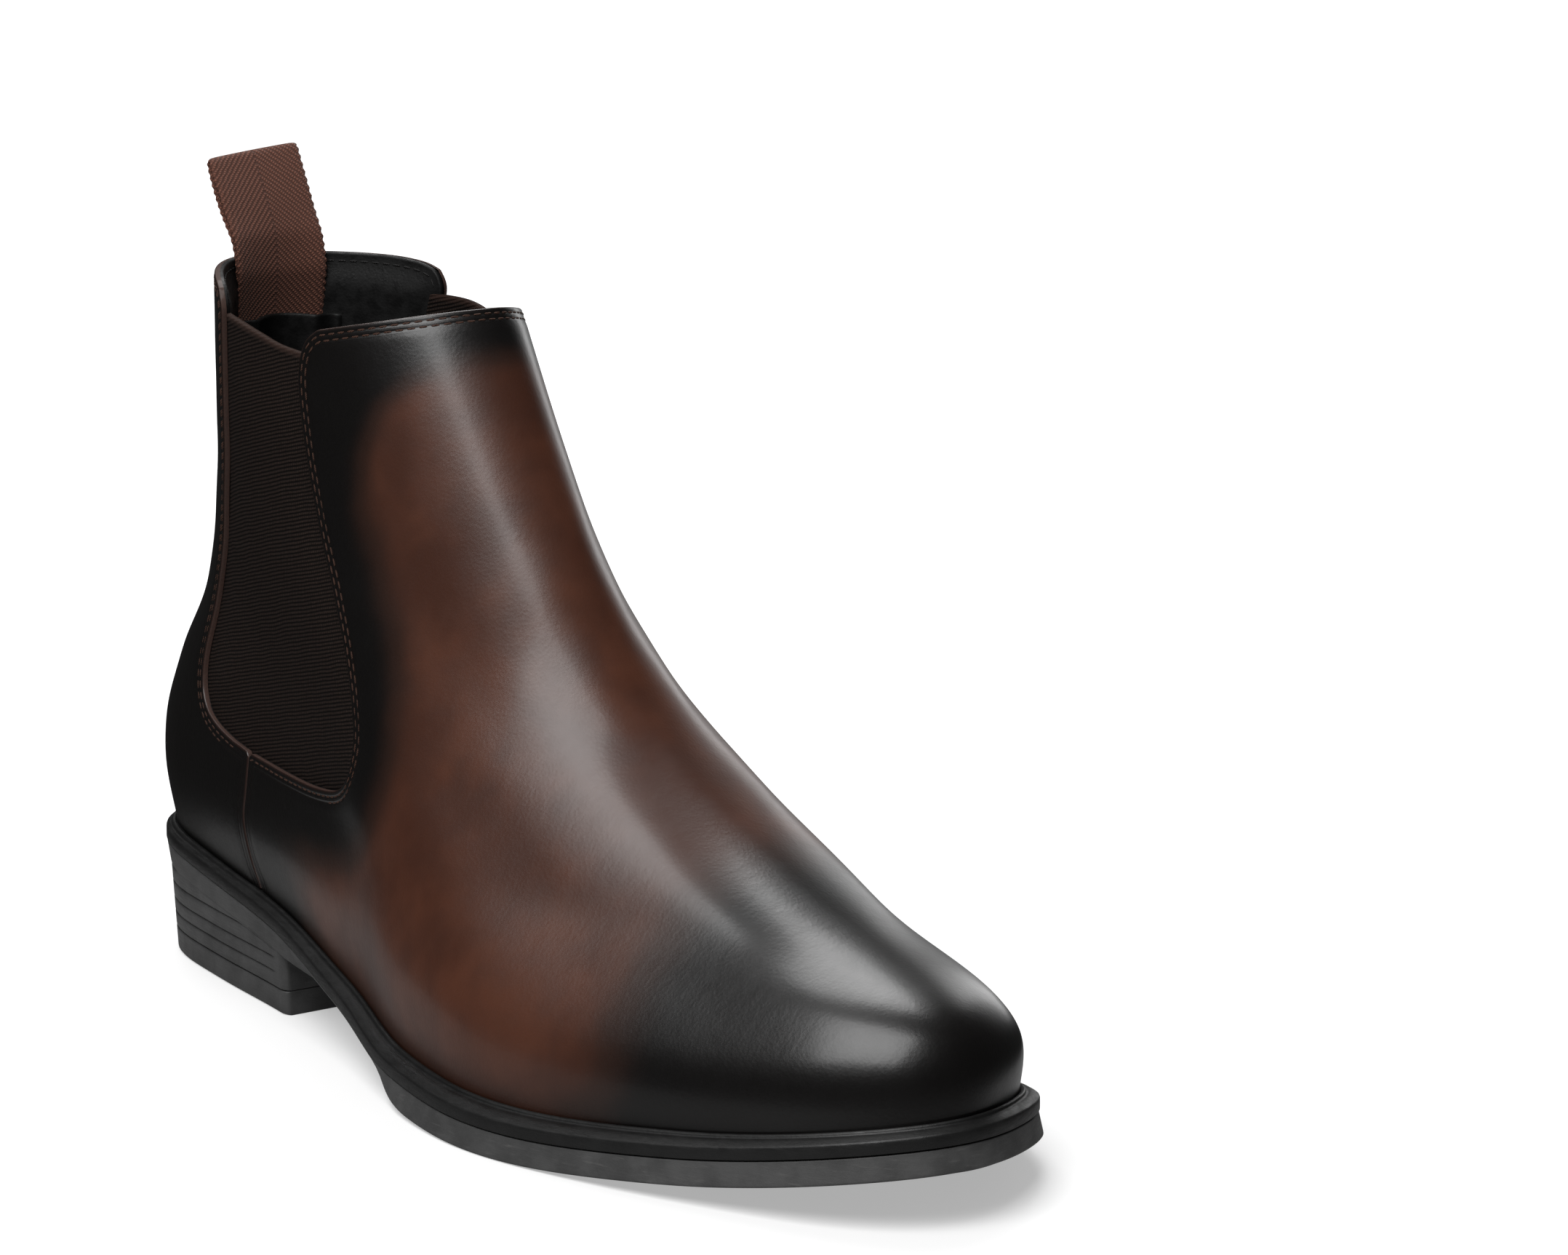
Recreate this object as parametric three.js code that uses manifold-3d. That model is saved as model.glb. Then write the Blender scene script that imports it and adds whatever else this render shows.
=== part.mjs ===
// Right-foot chelsea boot: dress last, leather upper, elastic gores, welted rubber sole.
// Millimetres, +Z up, toe towards -Y, outer (lateral) side of the foot towards -X.
import * as THREE from 'three';
import { mergeVertices } from 'three/addons/utils/BufferGeometryUtils.js';
import Module from 'manifold-3d';

const wasm = await Module();
wasm.setup();

// ---------------------------------------------------------------- driving dimensions
const SOLE_LENGTH = 302;
const WALL = 9;            // visible height of the sole edge, welt included
const WAIST_WALL = 7.4;    // thinner under the arch
const WELT_THICK = 3.1;
const WELT_RISE = 1.2;     // the welt climbs towards the upper
const GAP = 0.3;           // clearance between pieces that touch
const LEATHER = 1.4;
const MIDDLE = 1.2;        // gore, toe puff and counter
const LINING = 1.0;
const BOARD = 2.0;
const SOCK = 2.5;
const HEEL_LENGTH = 84;
const TOP_PIECE = 6;
const LOOP_WIDTH = 25;
const WEBBING = 1.2;
const LOOP_HEIGHT = 26;    // above the collar
const LOOP_LEAN = 0.40;    // radians, backwards
const COLLAR_TOP = 175.5;
const NAIL_RADIUS = 1.2;

const HALF = SOLE_LENGTH / 2;
const MID0 = LEATHER + GAP;
const MID1 = MID0 + MIDDLE;
const LIN0 = MID1 + GAP;
const LIN1 = LIN0 + LINING;
const AROUND = 40;         // steps round the foot

// ---------------------------------------------------------------- small maths
const clamp = (v, a, b) => Math.min(b, Math.max(a, v));
const lerp = (a, b, t) => a + (b - a) * t;
const ease = (t) => t * t * (3 - 2 * t);

// Smooth curve through hand-set stations, flat slope at a local peak.
function smooth(xs, ys) {
  const n = xs.length;
  const d = xs.slice(1).map((x, i) => (ys[i + 1] - ys[i]) / (x - xs[i]));
  const m = ys.map((_, i) => {
    if (i === 0) return d[0];
    if (i === n - 1) return d[n - 2];
    return d[i - 1] * d[i] <= 0 ? 0 : (2 * d[i - 1] * d[i]) / (d[i - 1] + d[i]);
  });
  return (x) => {
    const v = clamp(x, xs[0], xs[n - 1]);
    let i = 0;
    while (i < n - 2 && v > xs[i + 1]) i += 1;
    const h = xs[i + 1] - xs[i];
    const t = (v - xs[i]) / h;
    const a = (1 + 2 * t) * (1 - t) * (1 - t) * ys[i] + t * (1 - t) * (1 - t) * h * m[i];
    const b = t * t * (3 - 2 * t) * ys[i + 1] - t * t * (1 - t) * h * m[i + 1];
    return a + b;
  };
}

// ---------------------------------------------------------------- sole plan and heights
const PLAN = [0, 0.06, 0.14, 0.26, 0.4, 0.53, 0.66, 0.78, 0.88, 0.95, 1];
const OUTER = [0, 24.8, 29.6, 34, 42, 53, 56.5, 47.5, 36, 25, 0];
const INNER = [0, 26, 31.5, 33.5, 32, 36, 46.5, 50, 43.5, 31, 0];
const HEEL_ROUND = 66;     // fullness of the heel end
const TOE_ROUND = 59;      // fullness of the toe end
const TOE_SWING = 2.5;     // toe tip sits towards the big toe

function fullness(halfWidths) {
  const g = PLAN.map((s, i) => halfWidths[i] / (2 * Math.sqrt(s * (1 - s)) || 1));
  g[0] = HEEL_ROUND;
  g[g.length - 1] = TOE_ROUND;
  return smooth(PLAN, g);
}
const outerFull = fullness(OUTER);
const innerFull = fullness(INNER);

// Distance along the sole from the heel, then height of the rim there.
const rim = smooth([0, 40, 80, 120, 160, 205, 250, 302], [33, 29.5, 25, 17, 10.4, 9, 12.4, 21.5]);
const rimAt = (y) => rim(HALF - y);

function planPoint(a) {
  const s = (1 - Math.cos(a)) / 2;
  const w = Math.sin(a);
  const full = w > 0 ? outerFull(s) : innerFull(s);
  return [TOE_SWING * ease(s) - w * full, HALF - SOLE_LENGTH * s];
}

// Sole outline at angle a (0 heel, PI toe, positive outer side), moved inwards by inset.
function edge(a, inset = 0) {
  const p = planPoint(a);
  const q = planPoint(a + 0.01);
  const r = planPoint(a - 0.01);
  const tx = q[0] - r[0];
  const ty = q[1] - r[1];
  const len = Math.hypot(tx, ty);
  return [p[0] - (ty / len) * inset, p[1] + (tx / len) * inset];
}

// The edge flares a little round the forepart and is bevelled hard under the arch.
const wall = smooth([0, 88, 112, 135, 170, 302], [WALL, WALL, WAIST_WALL, WAIST_WALL, WALL, WALL]);
const bevel = smooth([0, 84, 112, 135, 170, 302], [0.8, 1.5, 5.5, 4.5, -1, -1]);
const wallAt = (y) => wall(HALF - y);
const bevelAt = (a) => bevel((HALF) * (1 - Math.cos(a)));

// ---------------------------------------------------------------- shape of the last
const LEVEL = [0, 0.05, 0.13, 0.24, 0.37, 0.52, 0.72, 1];
const frontY = smooth(LEVEL, [-146.8, -147, -139.5, -107, -69.5, -35, -11.5, 24.5]);
const frontZ = smooth(LEVEL, [23, 30.5, 39.2, 48.2, 65, 89, 121.5, 181]);
const backY = smooth(LEVEL, [148.3, 151.8, 152.8, 146, 135, 131, 130, 124]);
const backZ = smooth(LEVEL, [34.5, 46, 59.5, 77.5, 98, 120, 148, 189.5]);
const shaftShare = smooth(LEVEL, [0, 0.01, 0.08, 0.2, 0.55, 0.77, 0.98, 1]);
const bulge = smooth([0, 0.08, 0.24, 1], [1, 1.06, 1, 1]);
const frontSwing = smooth(LEVEL, [0, 0.5, 0.5, 0.5, 0, -1.5, -3.5, -5.5]);
const shaftOuter = smooth([0, 0.35, 0.7, 1], [31, 34.5, 32, 31]);
const shaftInner = smooth([0, 0.35, 0.7, 1], [32, 37, 28.5, 25]);
const featherInset = smooth([0, 0.25, 0.45, 0.7, 1], [2.8, 3.2, 4.5, 5.6, 4.2]);

function lastPoint(t, a) {
  const s0 = (1 - Math.cos(a)) / 2;
  const f = edge(a, featherInset(s0));
  const s = clamp((backY(0) - f[1]) / (backY(0) - frontY(0)), 0, 1);
  const oval = 2 * Math.sqrt(s * (1 - s));
  const shaft = Math.sin(a) > 0 ? -oval * shaftOuter(s) : oval * shaftInner(s);
  const x = lerp(f[0] * bulge(t), shaft, shaftShare(t)) + frontSwing(t) * ease(s);
  const y = lerp(backY(t), frontY(t), s);
  const base = lerp(backZ(0), frontZ(0), s);
  const camber = rimAt(f[1]) + WELT_RISE + GAP + 0.05 - base;
  const z = lerp(backZ(t), frontZ(t), s) + camber * Math.pow(1 - t, 4);
  return new THREE.Vector3(x, y, z);
}

// Point on the last, moved inwards by depth along the surface normal.
function last(t, a, depth = 0) {
  const h = 0.012;
  const p = lastPoint(t, a);
  const du = lastPoint(t, a + h).sub(lastPoint(t, a - h));
  const dt = lastPoint(Math.min(1, t + h), a).sub(lastPoint(Math.max(0, t - h), a));
  if (t < 0.03) dt.set(0, 0, 1);
  const n = dt.cross(du).normalize();
  const before = rimAt(p.y);
  p.addScaledVector(n, depth);
  p.z += (rimAt(p.y) - before) * Math.pow(1 - t, 12);
  return p;
}

// ---------------------------------------------------------------- solids
function closedGeometry(points, faces) {
  const g = new THREE.BufferGeometry();
  const xyz = points.flatMap((p) => [p.x, p.y, p.z]);
  g.setAttribute('position', new THREE.Float32BufferAttribute(xyz, 3));
  g.setIndex(faces);
  return g;
}

function signedVolume(g) {
  const p = g.attributes.position;
  const ix = g.index.array;
  const [a, b, c] = [new THREE.Vector3(), new THREE.Vector3(), new THREE.Vector3()];
  let v = 0;
  for (let i = 0; i < ix.length; i += 3) {
    a.fromBufferAttribute(p, ix[i]);
    b.fromBufferAttribute(p, ix[i + 1]);
    c.fromBufferAttribute(p, ix[i + 2]);
    v += a.dot(b.cross(c));
  }
  return v;
}

function facingOut(g) {
  if (signedVolume(g) > 0) return g;
  const ix = Array.from(g.index.array);
  for (let i = 0; i < ix.length; i += 3) [ix[i + 1], ix[i + 2]] = [ix[i + 2], ix[i + 1]];
  g.setIndex(ix);
  return g;
}

// Closed band: each row is a loop of section corners, rows joined end to end.
function band(rows, looped) {
  const k = rows[0].length;
  const faces = [];
  const count = looped ? rows.length : rows.length - 1;
  for (let i = 0; i < count; i += 1) {
    const o = i * k;
    const q = ((i + 1) % rows.length) * k;
    for (let j = 0; j < k; j += 1) {
      const n = (j + 1) % k;
      faces.push(o + j, q + j, q + n, o + j, q + n, o + n);
    }
  }
  if (!looped) {
    const e = (rows.length - 1) * k;
    for (let j = 1; j < k - 1; j += 1) {
      faces.push(0, j, j + 1);
      faces.push(e, e + j + 1, e + j);
    }
  }
  return facingOut(closedGeometry(rows.flat(), faces));
}

// Sheet between two surfaces given as functions of row and column.
function sheet(outer, inner, rows, cols, looped) {
  const points = [];
  const span = looped ? cols : cols + 1;
  for (const side of [outer, inner]) {
    for (let i = 0; i <= rows; i += 1) {
      for (let j = 0; j < span; j += 1) points.push(side(i / rows, j / cols));
    }
  }
  const at = (side, i, j) => side * (rows + 1) * span + i * span + (j % span);
  const faces = [];
  const quad = (a, b, c, d) => faces.push(a, b, c, a, c, d);
  for (let i = 0; i < rows; i += 1) {
    for (let j = 0; j < cols; j += 1) {
      quad(at(0, i, j), at(0, i, j + 1), at(0, i + 1, j + 1), at(0, i + 1, j));
      quad(at(1, i, j), at(1, i + 1, j), at(1, i + 1, j + 1), at(1, i, j + 1));
    }
  }
  for (let j = 0; j < cols; j += 1) {
    quad(at(0, 0, j + 1), at(0, 0, j), at(1, 0, j), at(1, 0, j + 1));
    quad(at(0, rows, j), at(0, rows, j + 1), at(1, rows, j + 1), at(1, rows, j));
  }
  for (let i = 0; i < rows && !looped; i += 1) {
    quad(at(0, i, 0), at(0, i + 1, 0), at(1, i + 1, 0), at(1, i, 0));
    quad(at(0, i + 1, cols), at(0, i, cols), at(1, i, cols), at(1, i + 1, cols));
  }
  return facingOut(closedGeometry(points, faces));
}

function toSolid(g) {
  const bare = new THREE.BufferGeometry();
  bare.setAttribute('position', g.attributes.position.clone());
  if (g.index) bare.setIndex(g.index.clone());
  const m = mergeVertices(bare, 1e-4);
  const mesh = new wasm.Mesh({
    numProp: 3,
    vertProperties: new Float32Array(m.attributes.position.array),
    triVerts: new Uint32Array(m.index.array),
  });
  return new wasm.Manifold(mesh);
}

function toGeometry(solid) {
  const mesh = solid.getMesh();
  const g = new THREE.BufferGeometry();
  g.setAttribute('position', new THREE.BufferAttribute(new Float32Array(mesh.vertProperties), 3));
  g.setIndex(new THREE.BufferAttribute(new Uint32Array(mesh.triVerts), 1));
  return g;
}

const keep = (g, cutter) => toGeometry(toSolid(g).intersect(toSolid(cutter)));
const cut = (g, cutter) => toGeometry(toSolid(g).subtract(toSolid(cutter)));

// Prism across the boot from a side-view outline of [y, z] points.
function prism(outline, x0, x1) {
  const shape = new THREE.Shape(outline.map(([y, z]) => new THREE.Vector2(y, z)));
  const g = new THREE.ExtrudeGeometry(shape, { depth: x1 - x0, bevelEnabled: false });
  const turn = new THREE.Matrix4().set(0, 0, 1, x0, 1, 0, 0, 0, 0, 1, 0, 0, 0, 0, 0, 1);
  return g.applyMatrix4(turn);
}

const rounded = (points, steps) => new THREE.SplineCurve(
  points.map(([y, z]) => new THREE.Vector2(y, z)),
).getPoints(steps).map((v) => [v.x, v.y]);

// ---------------------------------------------------------------- side-view outlines
// Front edge of the gore window, from the topline corner down and round the bottom.
const FRONT_EDGE = [
  [48, 168.5], [52, 165], [53.8, 158], [52.5, 148], [49, 134], [44, 121], [37, 108],
  [31, 96], [26.5, 84], [25, 75], [27.5, 67.5], [35, 62.8], [48, 60.6], [66, 60.2], [86.5, 61],
];
const FRONT_TOPLINE = [[-60, 178], [8, 178], [20, 174.6], [34, 171.6]];
const SEAM = [[86.8, 52], [87.5, 44], [85.5, 35], [81, 26], [79, 10]];
const BACK_EDGE = [
  [96, 62.2], [105, 64.2], [111.5, 67], [115.3, 72], [115.5, 80], [112.5, 93],
  [107.5, 107], [101.5, 126], [97, 146], [93.5, 162], [92.5, 168.5], [94.5, 172.6],
];
const BACK_TOPLINE = [[100, 174.4], [112, COLLAR_TOP], [170, COLLAR_TOP + 0.5]];
const GORE_TOP = [[98, 166.9], [84, 166.5], [72, 165], [62, 163.2], [50, 161.8]];

const frontLine = rounded(FRONT_EDGE, 30);
const seamLine = rounded([FRONT_EDGE[14], ...SEAM], 8);
const backLine = rounded(BACK_EDGE, 24);

// The same line moved towards the piece, so a layer below ends short of the edge.
function shifted(line, distance) {
  return line.map((p, i) => {
    const a = line[Math.max(0, i - 1)];
    const b = line[Math.min(line.length - 1, i + 1)];
    const l = Math.hypot(b[0] - a[0], b[1] - a[1]);
    return [p[0] + ((b[1] - a[1]) / l) * distance, p[1] - ((b[0] - a[0]) / l) * distance];
  });
}

function frontOutline(back) {
  const top = FRONT_TOPLINE.map(([y, z]) => [y, z - back * 0.6]);
  const side = [...shifted(frontLine, back), ...shifted(seamLine.slice(1), back * 0.1 + 0.15)];
  return [[-200, 0], [-200, 178], ...top, ...side];
}

function backOutline(back) {
  const seam = shifted([...seamLine].reverse(), back * 0.1 + 0.15);
  const top = BACK_TOPLINE.map(([y, z]) => [y, z - back * 0.6]);
  return [...seam, ...shifted(backLine, back), ...top, [170, 0]];
}

function goreOutline(margin) {
  const front = shifted(frontLine.slice(4), margin);
  const back = shifted(backLine.slice(0, 19), margin);
  const top = GORE_TOP.slice(1, 4);
  return [...front, ...back, [93 + margin, 166.8], ...top, [53 - margin, 162]];
}

// ---------------------------------------------------------------- layers on the last
const LOWS = [0, 0.02, 0.05, 0.09, 0.13, 0.18, 0.24, 0.3, 0.37, 0.44, 0.52, 0.62, 0.72, 0.84, 1];
const levelAt = (v) => smooth(LOWS.map((_, i) => i / (LOWS.length - 1)), LOWS)(v);

// One layer of the upper, all the way round, between two depths below the outer surface.
function ring(d0, d1) {
  const side = (d) => (u, v) => last(levelAt(u), 2 * Math.PI * v, d);
  return sheet(side(d0), side(d1), LOWS.length - 1, AROUND, true);
}

function patch(d0, d1, t0, t1, a0, a1, rows, cols) {
  const depth = (d) => (typeof d === 'function' ? d : () => d);
  const side = (d) => (u, v) => last(lerp(t0, t1, u), lerp(a0, a1, v), depth(d)(u, v));
  return sheet(side(d0), side(d1), rows, cols, false);
}

// Plate across the sole between two heights above the rim, from angle a0 to a1.
function plate(inset, low, high, a0, a1, rows, cols, lowInset = null) {
  const side = (height, insetAt) => (u, v) => {
    const a = lerp(a0, a1, u);
    const l = edge(a, insetAt(a));
    const r = edge(-a, insetAt(a));
    const y = lerp(l[1], r[1], v);
    const h = typeof height === 'function' ? height(y) : height;
    return new THREE.Vector3(lerp(l[0], r[0], v), y, rimAt(y) + h);
  };
  const same = () => inset;
  return sheet(side(high, same), side(low, lowInset || same), rows, cols, false);
}

// ---------------------------------------------------------------- materials and nodes
const boot = new THREE.Group();

function add(name, geometry, color, roughness, metalness = 0) {
  const material = new THREE.MeshStandardMaterial({ color, roughness, metalness });
  const mesh = new THREE.Mesh(geometry, material);
  mesh.name = name;
  boot.add(mesh);
  return mesh;
}

// ---------------------------------------------------------------- sole unit
const TIP = 0.05;
const angleAtLength = (u) => Math.acos(1 - (2 * u) / SOLE_LENGTH);
const breast = angleAtLength(HEEL_LENGTH);

function nail(i) {
  const spots = [[0, 128], [-17, 112], [17, 112], [-19, 88], [19, 88]];
  const [x, y] = spots[i];
  const top = rimAt(y) - WELT_THICK - 0.6;
  return { x, y, top, bottom: top - 15 };
}

function pin({ x, y, top, bottom }, radius, extra) {
  const g = new THREE.CylinderGeometry(radius, radius, top - bottom + 2 * extra, 10);
  return g.rotateX(Math.PI / 2).translate(x, y, (top + bottom) / 2);
}

const soleTop = -WELT_THICK - GAP;
const outsoleBase = plate(0, (y) => -wallAt(y), soleTop, TIP, Math.PI - TIP, 40, 6, bevelAt);

// Heel stack: outlines that taper towards the floor, with fine grooves round the side.
function heelSolid(low, high, grooves, seat) {
  const heights = [low];
  for (const z of grooves) heights.push(z - 0.5, z, z + 0.5);
  heights.push(high);
  const rows = 14;
  const loop = heights.map((z, k) => {
    const share = z / 25;
    const groove = grooves.includes(z) ? 0.5 : 0;
    const inset = 2.6 - 1.6 * share + groove;
    const points = [];
    for (let i = 0; i <= 2 * rows; i += 1) {
      const a = lerp(-breast, breast, i / (2 * rows));
      const [x, y] = edge(a, inset);
      const top = k === heights.length - 1;
      points.push(new THREE.Vector3(x, y, top && seat ? rimAt(y) - WALL - GAP : z));
    }
    return points;
  });
  const flat = loop.map((p) => p.map((v) => v.clone()));
  const n = flat[0].length;
  const faces = [];
  for (let k = 0; k < flat.length - 1; k += 1) {
    for (let i = 0; i < n; i += 1) {
      const j = (i + 1) % n;
      faces.push(k * n + i, k * n + j, (k + 1) * n + j, k * n + i, (k + 1) * n + j, (k + 1) * n + i);
    }
  }
  const cap = (o) => {
    for (let i = 0; i < rows - 1; i += 1) {
      const [a, b, c, d] = [o + i, o + i + 1, o + n - 2 - i, o + n - 1 - i];
      faces.push(a, b, c, a, c, d);
    }
    faces.push(o + rows - 1, o + rows, o + rows + 1);
  };
  const before = faces.length;
  cap(0);
  const turned = faces.splice(before);
  for (let i = 0; i < turned.length; i += 3) faces.push(turned[i], turned[i + 2], turned[i + 1]);
  cap((flat.length - 1) * n);
  return facingOut(closedGeometry(flat.flat(), faces));
}

let outsole = outsoleBase;
let heelBlock = heelSolid(TOP_PIECE + GAP, 14.5, [10, 13.4], true);
for (let i = 0; i < 5; i += 1) {
  const hole = pin(nail(i), NAIL_RADIUS + GAP, 0.5);
  outsole = cut(outsole, hole);
  heelBlock = cut(heelBlock, hole);
  add(`heel_nail_${i + 1}`, pin(nail(i), NAIL_RADIUS, 0), 0x8d9196, 0.35, 0.9);
}
add('outsole', outsole, 0x161616, 0.55);
add('heel_block', heelBlock, 0x181818, 0.6);
add('heel_top_piece', heelSolid(0, TOP_PIECE, [], false), 0x141414, 0.8);

const weltRows = [];
for (let i = 0; i < 2 * AROUND; i += 1) {
  const a = (Math.PI * i) / AROUND;
  const corner = (inset, h) => {
    const [x, y] = edge(a, inset);
    return new THREE.Vector3(x, y, rimAt(y) + h);
  };
  const rise = WELT_RISE;
  weltRows.push([
    corner(0, -WELT_THICK), corner(0, -0.4), corner(0.6, 0), corner(2.6, rise),
    corner(13, rise), corner(13, -WELT_THICK),
  ]);
}
add('welt', band(weltRows, true), 0x141210, 0.5);

// ---------------------------------------------------------------- inside the bottom
const shankRows = [];
for (let i = 0; i <= 12; i += 1) {
  const y = lerp(100, 2, i / 12);
  const z = rimAt(y) - WELT_THICK + GAP;
  const x = 1 - i * 0.25;
  const v = (dx, dz) => new THREE.Vector3(x + dx, y, z + dz);
  shankRows.push([v(-7, 0), v(-2, 0.5), v(2, 0.5), v(7, 0), v(7, 1.2), v(2, 1.7), v(-2, 1.7), v(-7, 1.2)]);
}
add('shank', band(shankRows, false), 0x9a9ea3, 0.4, 0.9);
const fillStart = angleAtLength(156);
add('forepart_filler', plate(13.3, -WELT_THICK, WELT_RISE - 0.1, fillStart, 2.86, 18, 4), 0xb08d5e, 0.95);
const inner = featherInset(0.7) + LIN1 + 0.4;
add('insole_board', plate(inner, WELT_RISE + GAP, WELT_RISE + GAP + BOARD, TIP + 0.03, 3.06, 30, 4), 0xb9a284, 0.9);
const sockLow = WELT_RISE + 2 * GAP + BOARD;
add('sock_liner', plate(inner + 0.5, sockLow, sockLow + SOCK, TIP + 0.03, 3.05, 30, 4), 0x1c1a19, 0.75);

// ---------------------------------------------------------------- upper
const shell = ring(0, LEATHER);
const all = (outline) => prism(outline, -80, 80);
add('front_upper', keep(shell, all(frontOutline(0))), 0x4a2418, 0.32);
add('back_quarter', keep(shell, all(backOutline(0))), 0x1d1310, 0.32);

const lining = ring(LIN0, LIN1);
add('lining_front', keep(lining, all(frontOutline(1))), 0x171717, 0.6);
add('lining_back', keep(lining, all(backOutline(1))), 0x171717, 0.6);

const middleLayer = ring(MID0, MID1);
const goreShape = goreOutline(6);
add('gore_outer', keep(middleLayer, prism(goreShape, -80, 0)), 0x211a18, 0.85);
add('gore_inner', keep(middleLayer, prism(goreShape, 0, 80)), 0x211a18, 0.85);
add('toe_puff', keep(middleLayer, all([[-200, 0], [-200, 90], [-98, 90], [-104, 0]])), 0xcbbfa8, 0.9);
const counterBox = [
  [98, 0], [170, 0], [170, 86], [136, 85], [124.5, 80], [124, 69], [117.5, 60], [108, 55.8], [98, 53.8],
];
add('heel_counter', keep(middleLayer, all(counterBox)), 0x8a6d4f, 0.9);

// ---------------------------------------------------------------- pull loop
// The webbing hangs inside the back of the collar, its ends sewn under a patch.
const HINGE = new THREE.Vector3(0, 0, COLLAR_TOP + 2.2);
const levelOfHeight = (z) => {
  let t = 0.5;
  for (let i = 0; i < 30; i += 1) t += (z - lastPoint(t, 0).z) * 0.004;
  return clamp(t, 0, 1);
};
const backWall = (z, depth) => last(levelOfHeight(z), 0, depth);
const TAIL0 = LIN1 + 1.3;
const TAIL1 = TAIL0 + 2 * WEBBING;
HINGE.y = backWall(COLLAR_TOP, (TAIL0 + TAIL1) / 2).y;

const TAIL_HALF = 0.44;
const tailLow = levelOfHeight(144);
const tailHigh = levelOfHeight(COLLAR_TOP - 0.5);
const tail = patch(TAIL0, TAIL1, tailLow, tailHigh, -TAIL_HALF, TAIL_HALF, 8, 8);
add('loop_anchor', tail, 0x5a3528, 0.85);

// Patch: close to the lining all round, lifted over the two webbing tails.
const lift = (u, v) => {
  const across = Math.abs(2 * v - 1);
  const side = 1 - ease(clamp((across - 0.78) / 0.16, 0, 1));
  const foot = ease(clamp(u / 0.18, 0, 1));
  return side * foot;
};
const PATCH_HALF = 0.62;
const patchLow = (u, v) => lerp(LIN1 + 2 * GAP, TAIL1 + 0.5, lift(u, v));
const patchHigh = (u, v) => patchLow(u, v) + 1;
add('loop_patch', patch(patchLow, patchHigh, 0.64, levelOfHeight(162), -PATCH_HALF, PATCH_HALF, 10, 20), 0x151515, 0.6);

// The loop itself: a slim teardrop of webbing that leaves room for a fingertip.
function loopOutline(depth) {
  const side = [];
  const reach = LOOP_HEIGHT - 2.5 - depth;
  for (let i = 0; i <= 18; i += 1) {
    const s = i / 18;
    const swell = Math.sin(Math.PI * Math.pow(s, 0.8));
    side.push([(1.7 + 1.3 * swell) - depth, lerp(depth ? 2.2 : 0, reach, s)]);
  }
  const left = side.map(([y, z]) => [-y, z]).reverse();
  const nose = depth ? [] : [[1.0, -1.1], [0, -1.4], [-1.0, -1.1]];
  return [...side, ...left].concat(nose.map(([y, z]) => [-y, z]));
}
const loopBody = prism(loopOutline(0), -LOOP_WIDTH / 2, LOOP_WIDTH / 2);
const loopHole = prism(loopOutline(WEBBING), -LOOP_WIDTH, LOOP_WIDTH);
const loop = cut(loopBody, loopHole).rotateX(-LOOP_LEAN).translate(HINGE.x, HINGE.y, HINGE.z);
add('pull_loop', loop, 0x5a3528, 0.85);

// ---------------------------------------------------------------- place on the floor
const size = new THREE.Box3().setFromObject(boot, true);
const middle = size.getCenter(new THREE.Vector3());
boot.position.set(-middle.x, -middle.y, -size.min.z);
boot.updateMatrixWorld(true);

export default boot;
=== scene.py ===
"""Right-foot chelsea boot: dark brown burnished leather, elastic gores, webbing pull loop."""
import math

import bpy
import numpy as np
from mathutils import Matrix, Vector


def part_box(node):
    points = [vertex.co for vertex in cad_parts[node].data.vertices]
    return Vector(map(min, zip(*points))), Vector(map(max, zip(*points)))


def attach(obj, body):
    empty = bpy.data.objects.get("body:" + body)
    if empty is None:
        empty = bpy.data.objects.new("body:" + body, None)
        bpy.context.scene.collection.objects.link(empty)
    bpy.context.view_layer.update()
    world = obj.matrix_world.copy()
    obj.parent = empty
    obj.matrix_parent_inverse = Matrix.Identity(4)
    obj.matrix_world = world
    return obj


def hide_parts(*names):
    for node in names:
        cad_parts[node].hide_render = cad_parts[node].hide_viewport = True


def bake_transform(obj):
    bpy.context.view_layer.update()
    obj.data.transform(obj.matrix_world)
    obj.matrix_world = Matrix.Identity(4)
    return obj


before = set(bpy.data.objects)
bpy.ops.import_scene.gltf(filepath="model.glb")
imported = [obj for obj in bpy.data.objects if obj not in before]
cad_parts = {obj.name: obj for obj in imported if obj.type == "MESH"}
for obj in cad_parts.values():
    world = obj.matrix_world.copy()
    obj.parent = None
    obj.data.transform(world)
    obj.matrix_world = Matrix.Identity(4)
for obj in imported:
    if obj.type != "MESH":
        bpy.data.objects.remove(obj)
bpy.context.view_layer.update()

# ---------- dimensions, millimetres
# Lengths below are measured from the middle of the sole, toe towards -Y, floor at z = 0.
SOLE_LENGTH = 302
HALF = SOLE_LENGTH / 2
WELT_THICK = 3.1
WELT_TOP = 1.2          # the welt's upper face above the rim line
GAP = 0.3
LEATHER = 1.4
GORE_DEPTH = 1.65       # outer face of the elastic, below the leather's face
GORE_BACK = 2.85        # inner face of the elastic
LINING_DEPTH = 4.2      # inner face of the lining
TOP_PIECE = 6.0
HEEL_LENGTH = 84
HEEL_HEIGHT = 25
LOOP_WIDTH = 25.0
WEBBING = 1.2
COLLAR_TOP = 175.5
LOOP_LEAN = 0.40        # radians backwards from upright
NAIL_BACK = 128         # the first nail, behind the middle of the sole

# Where the middle of the sole lies in the frame, in millimetres, read off the first nail.
nail_low, nail_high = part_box("heel_nail_1")
nail = 1000 * (nail_low + nail_high) / 2
SHIFT = np.array([nail.x, nail.y - NAIL_BACK, 0.0])


# ---------- small maths
def ease(v, low=0.0, high=1.0):
    """0 below low, 1 above high, smooth between; low may be the larger."""
    w = np.clip((v - low) / (high - low), 0, 1)
    return w * w * (3 - 2 * w)


def lerp(a, b, w):
    return a + (b - a) * w


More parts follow.
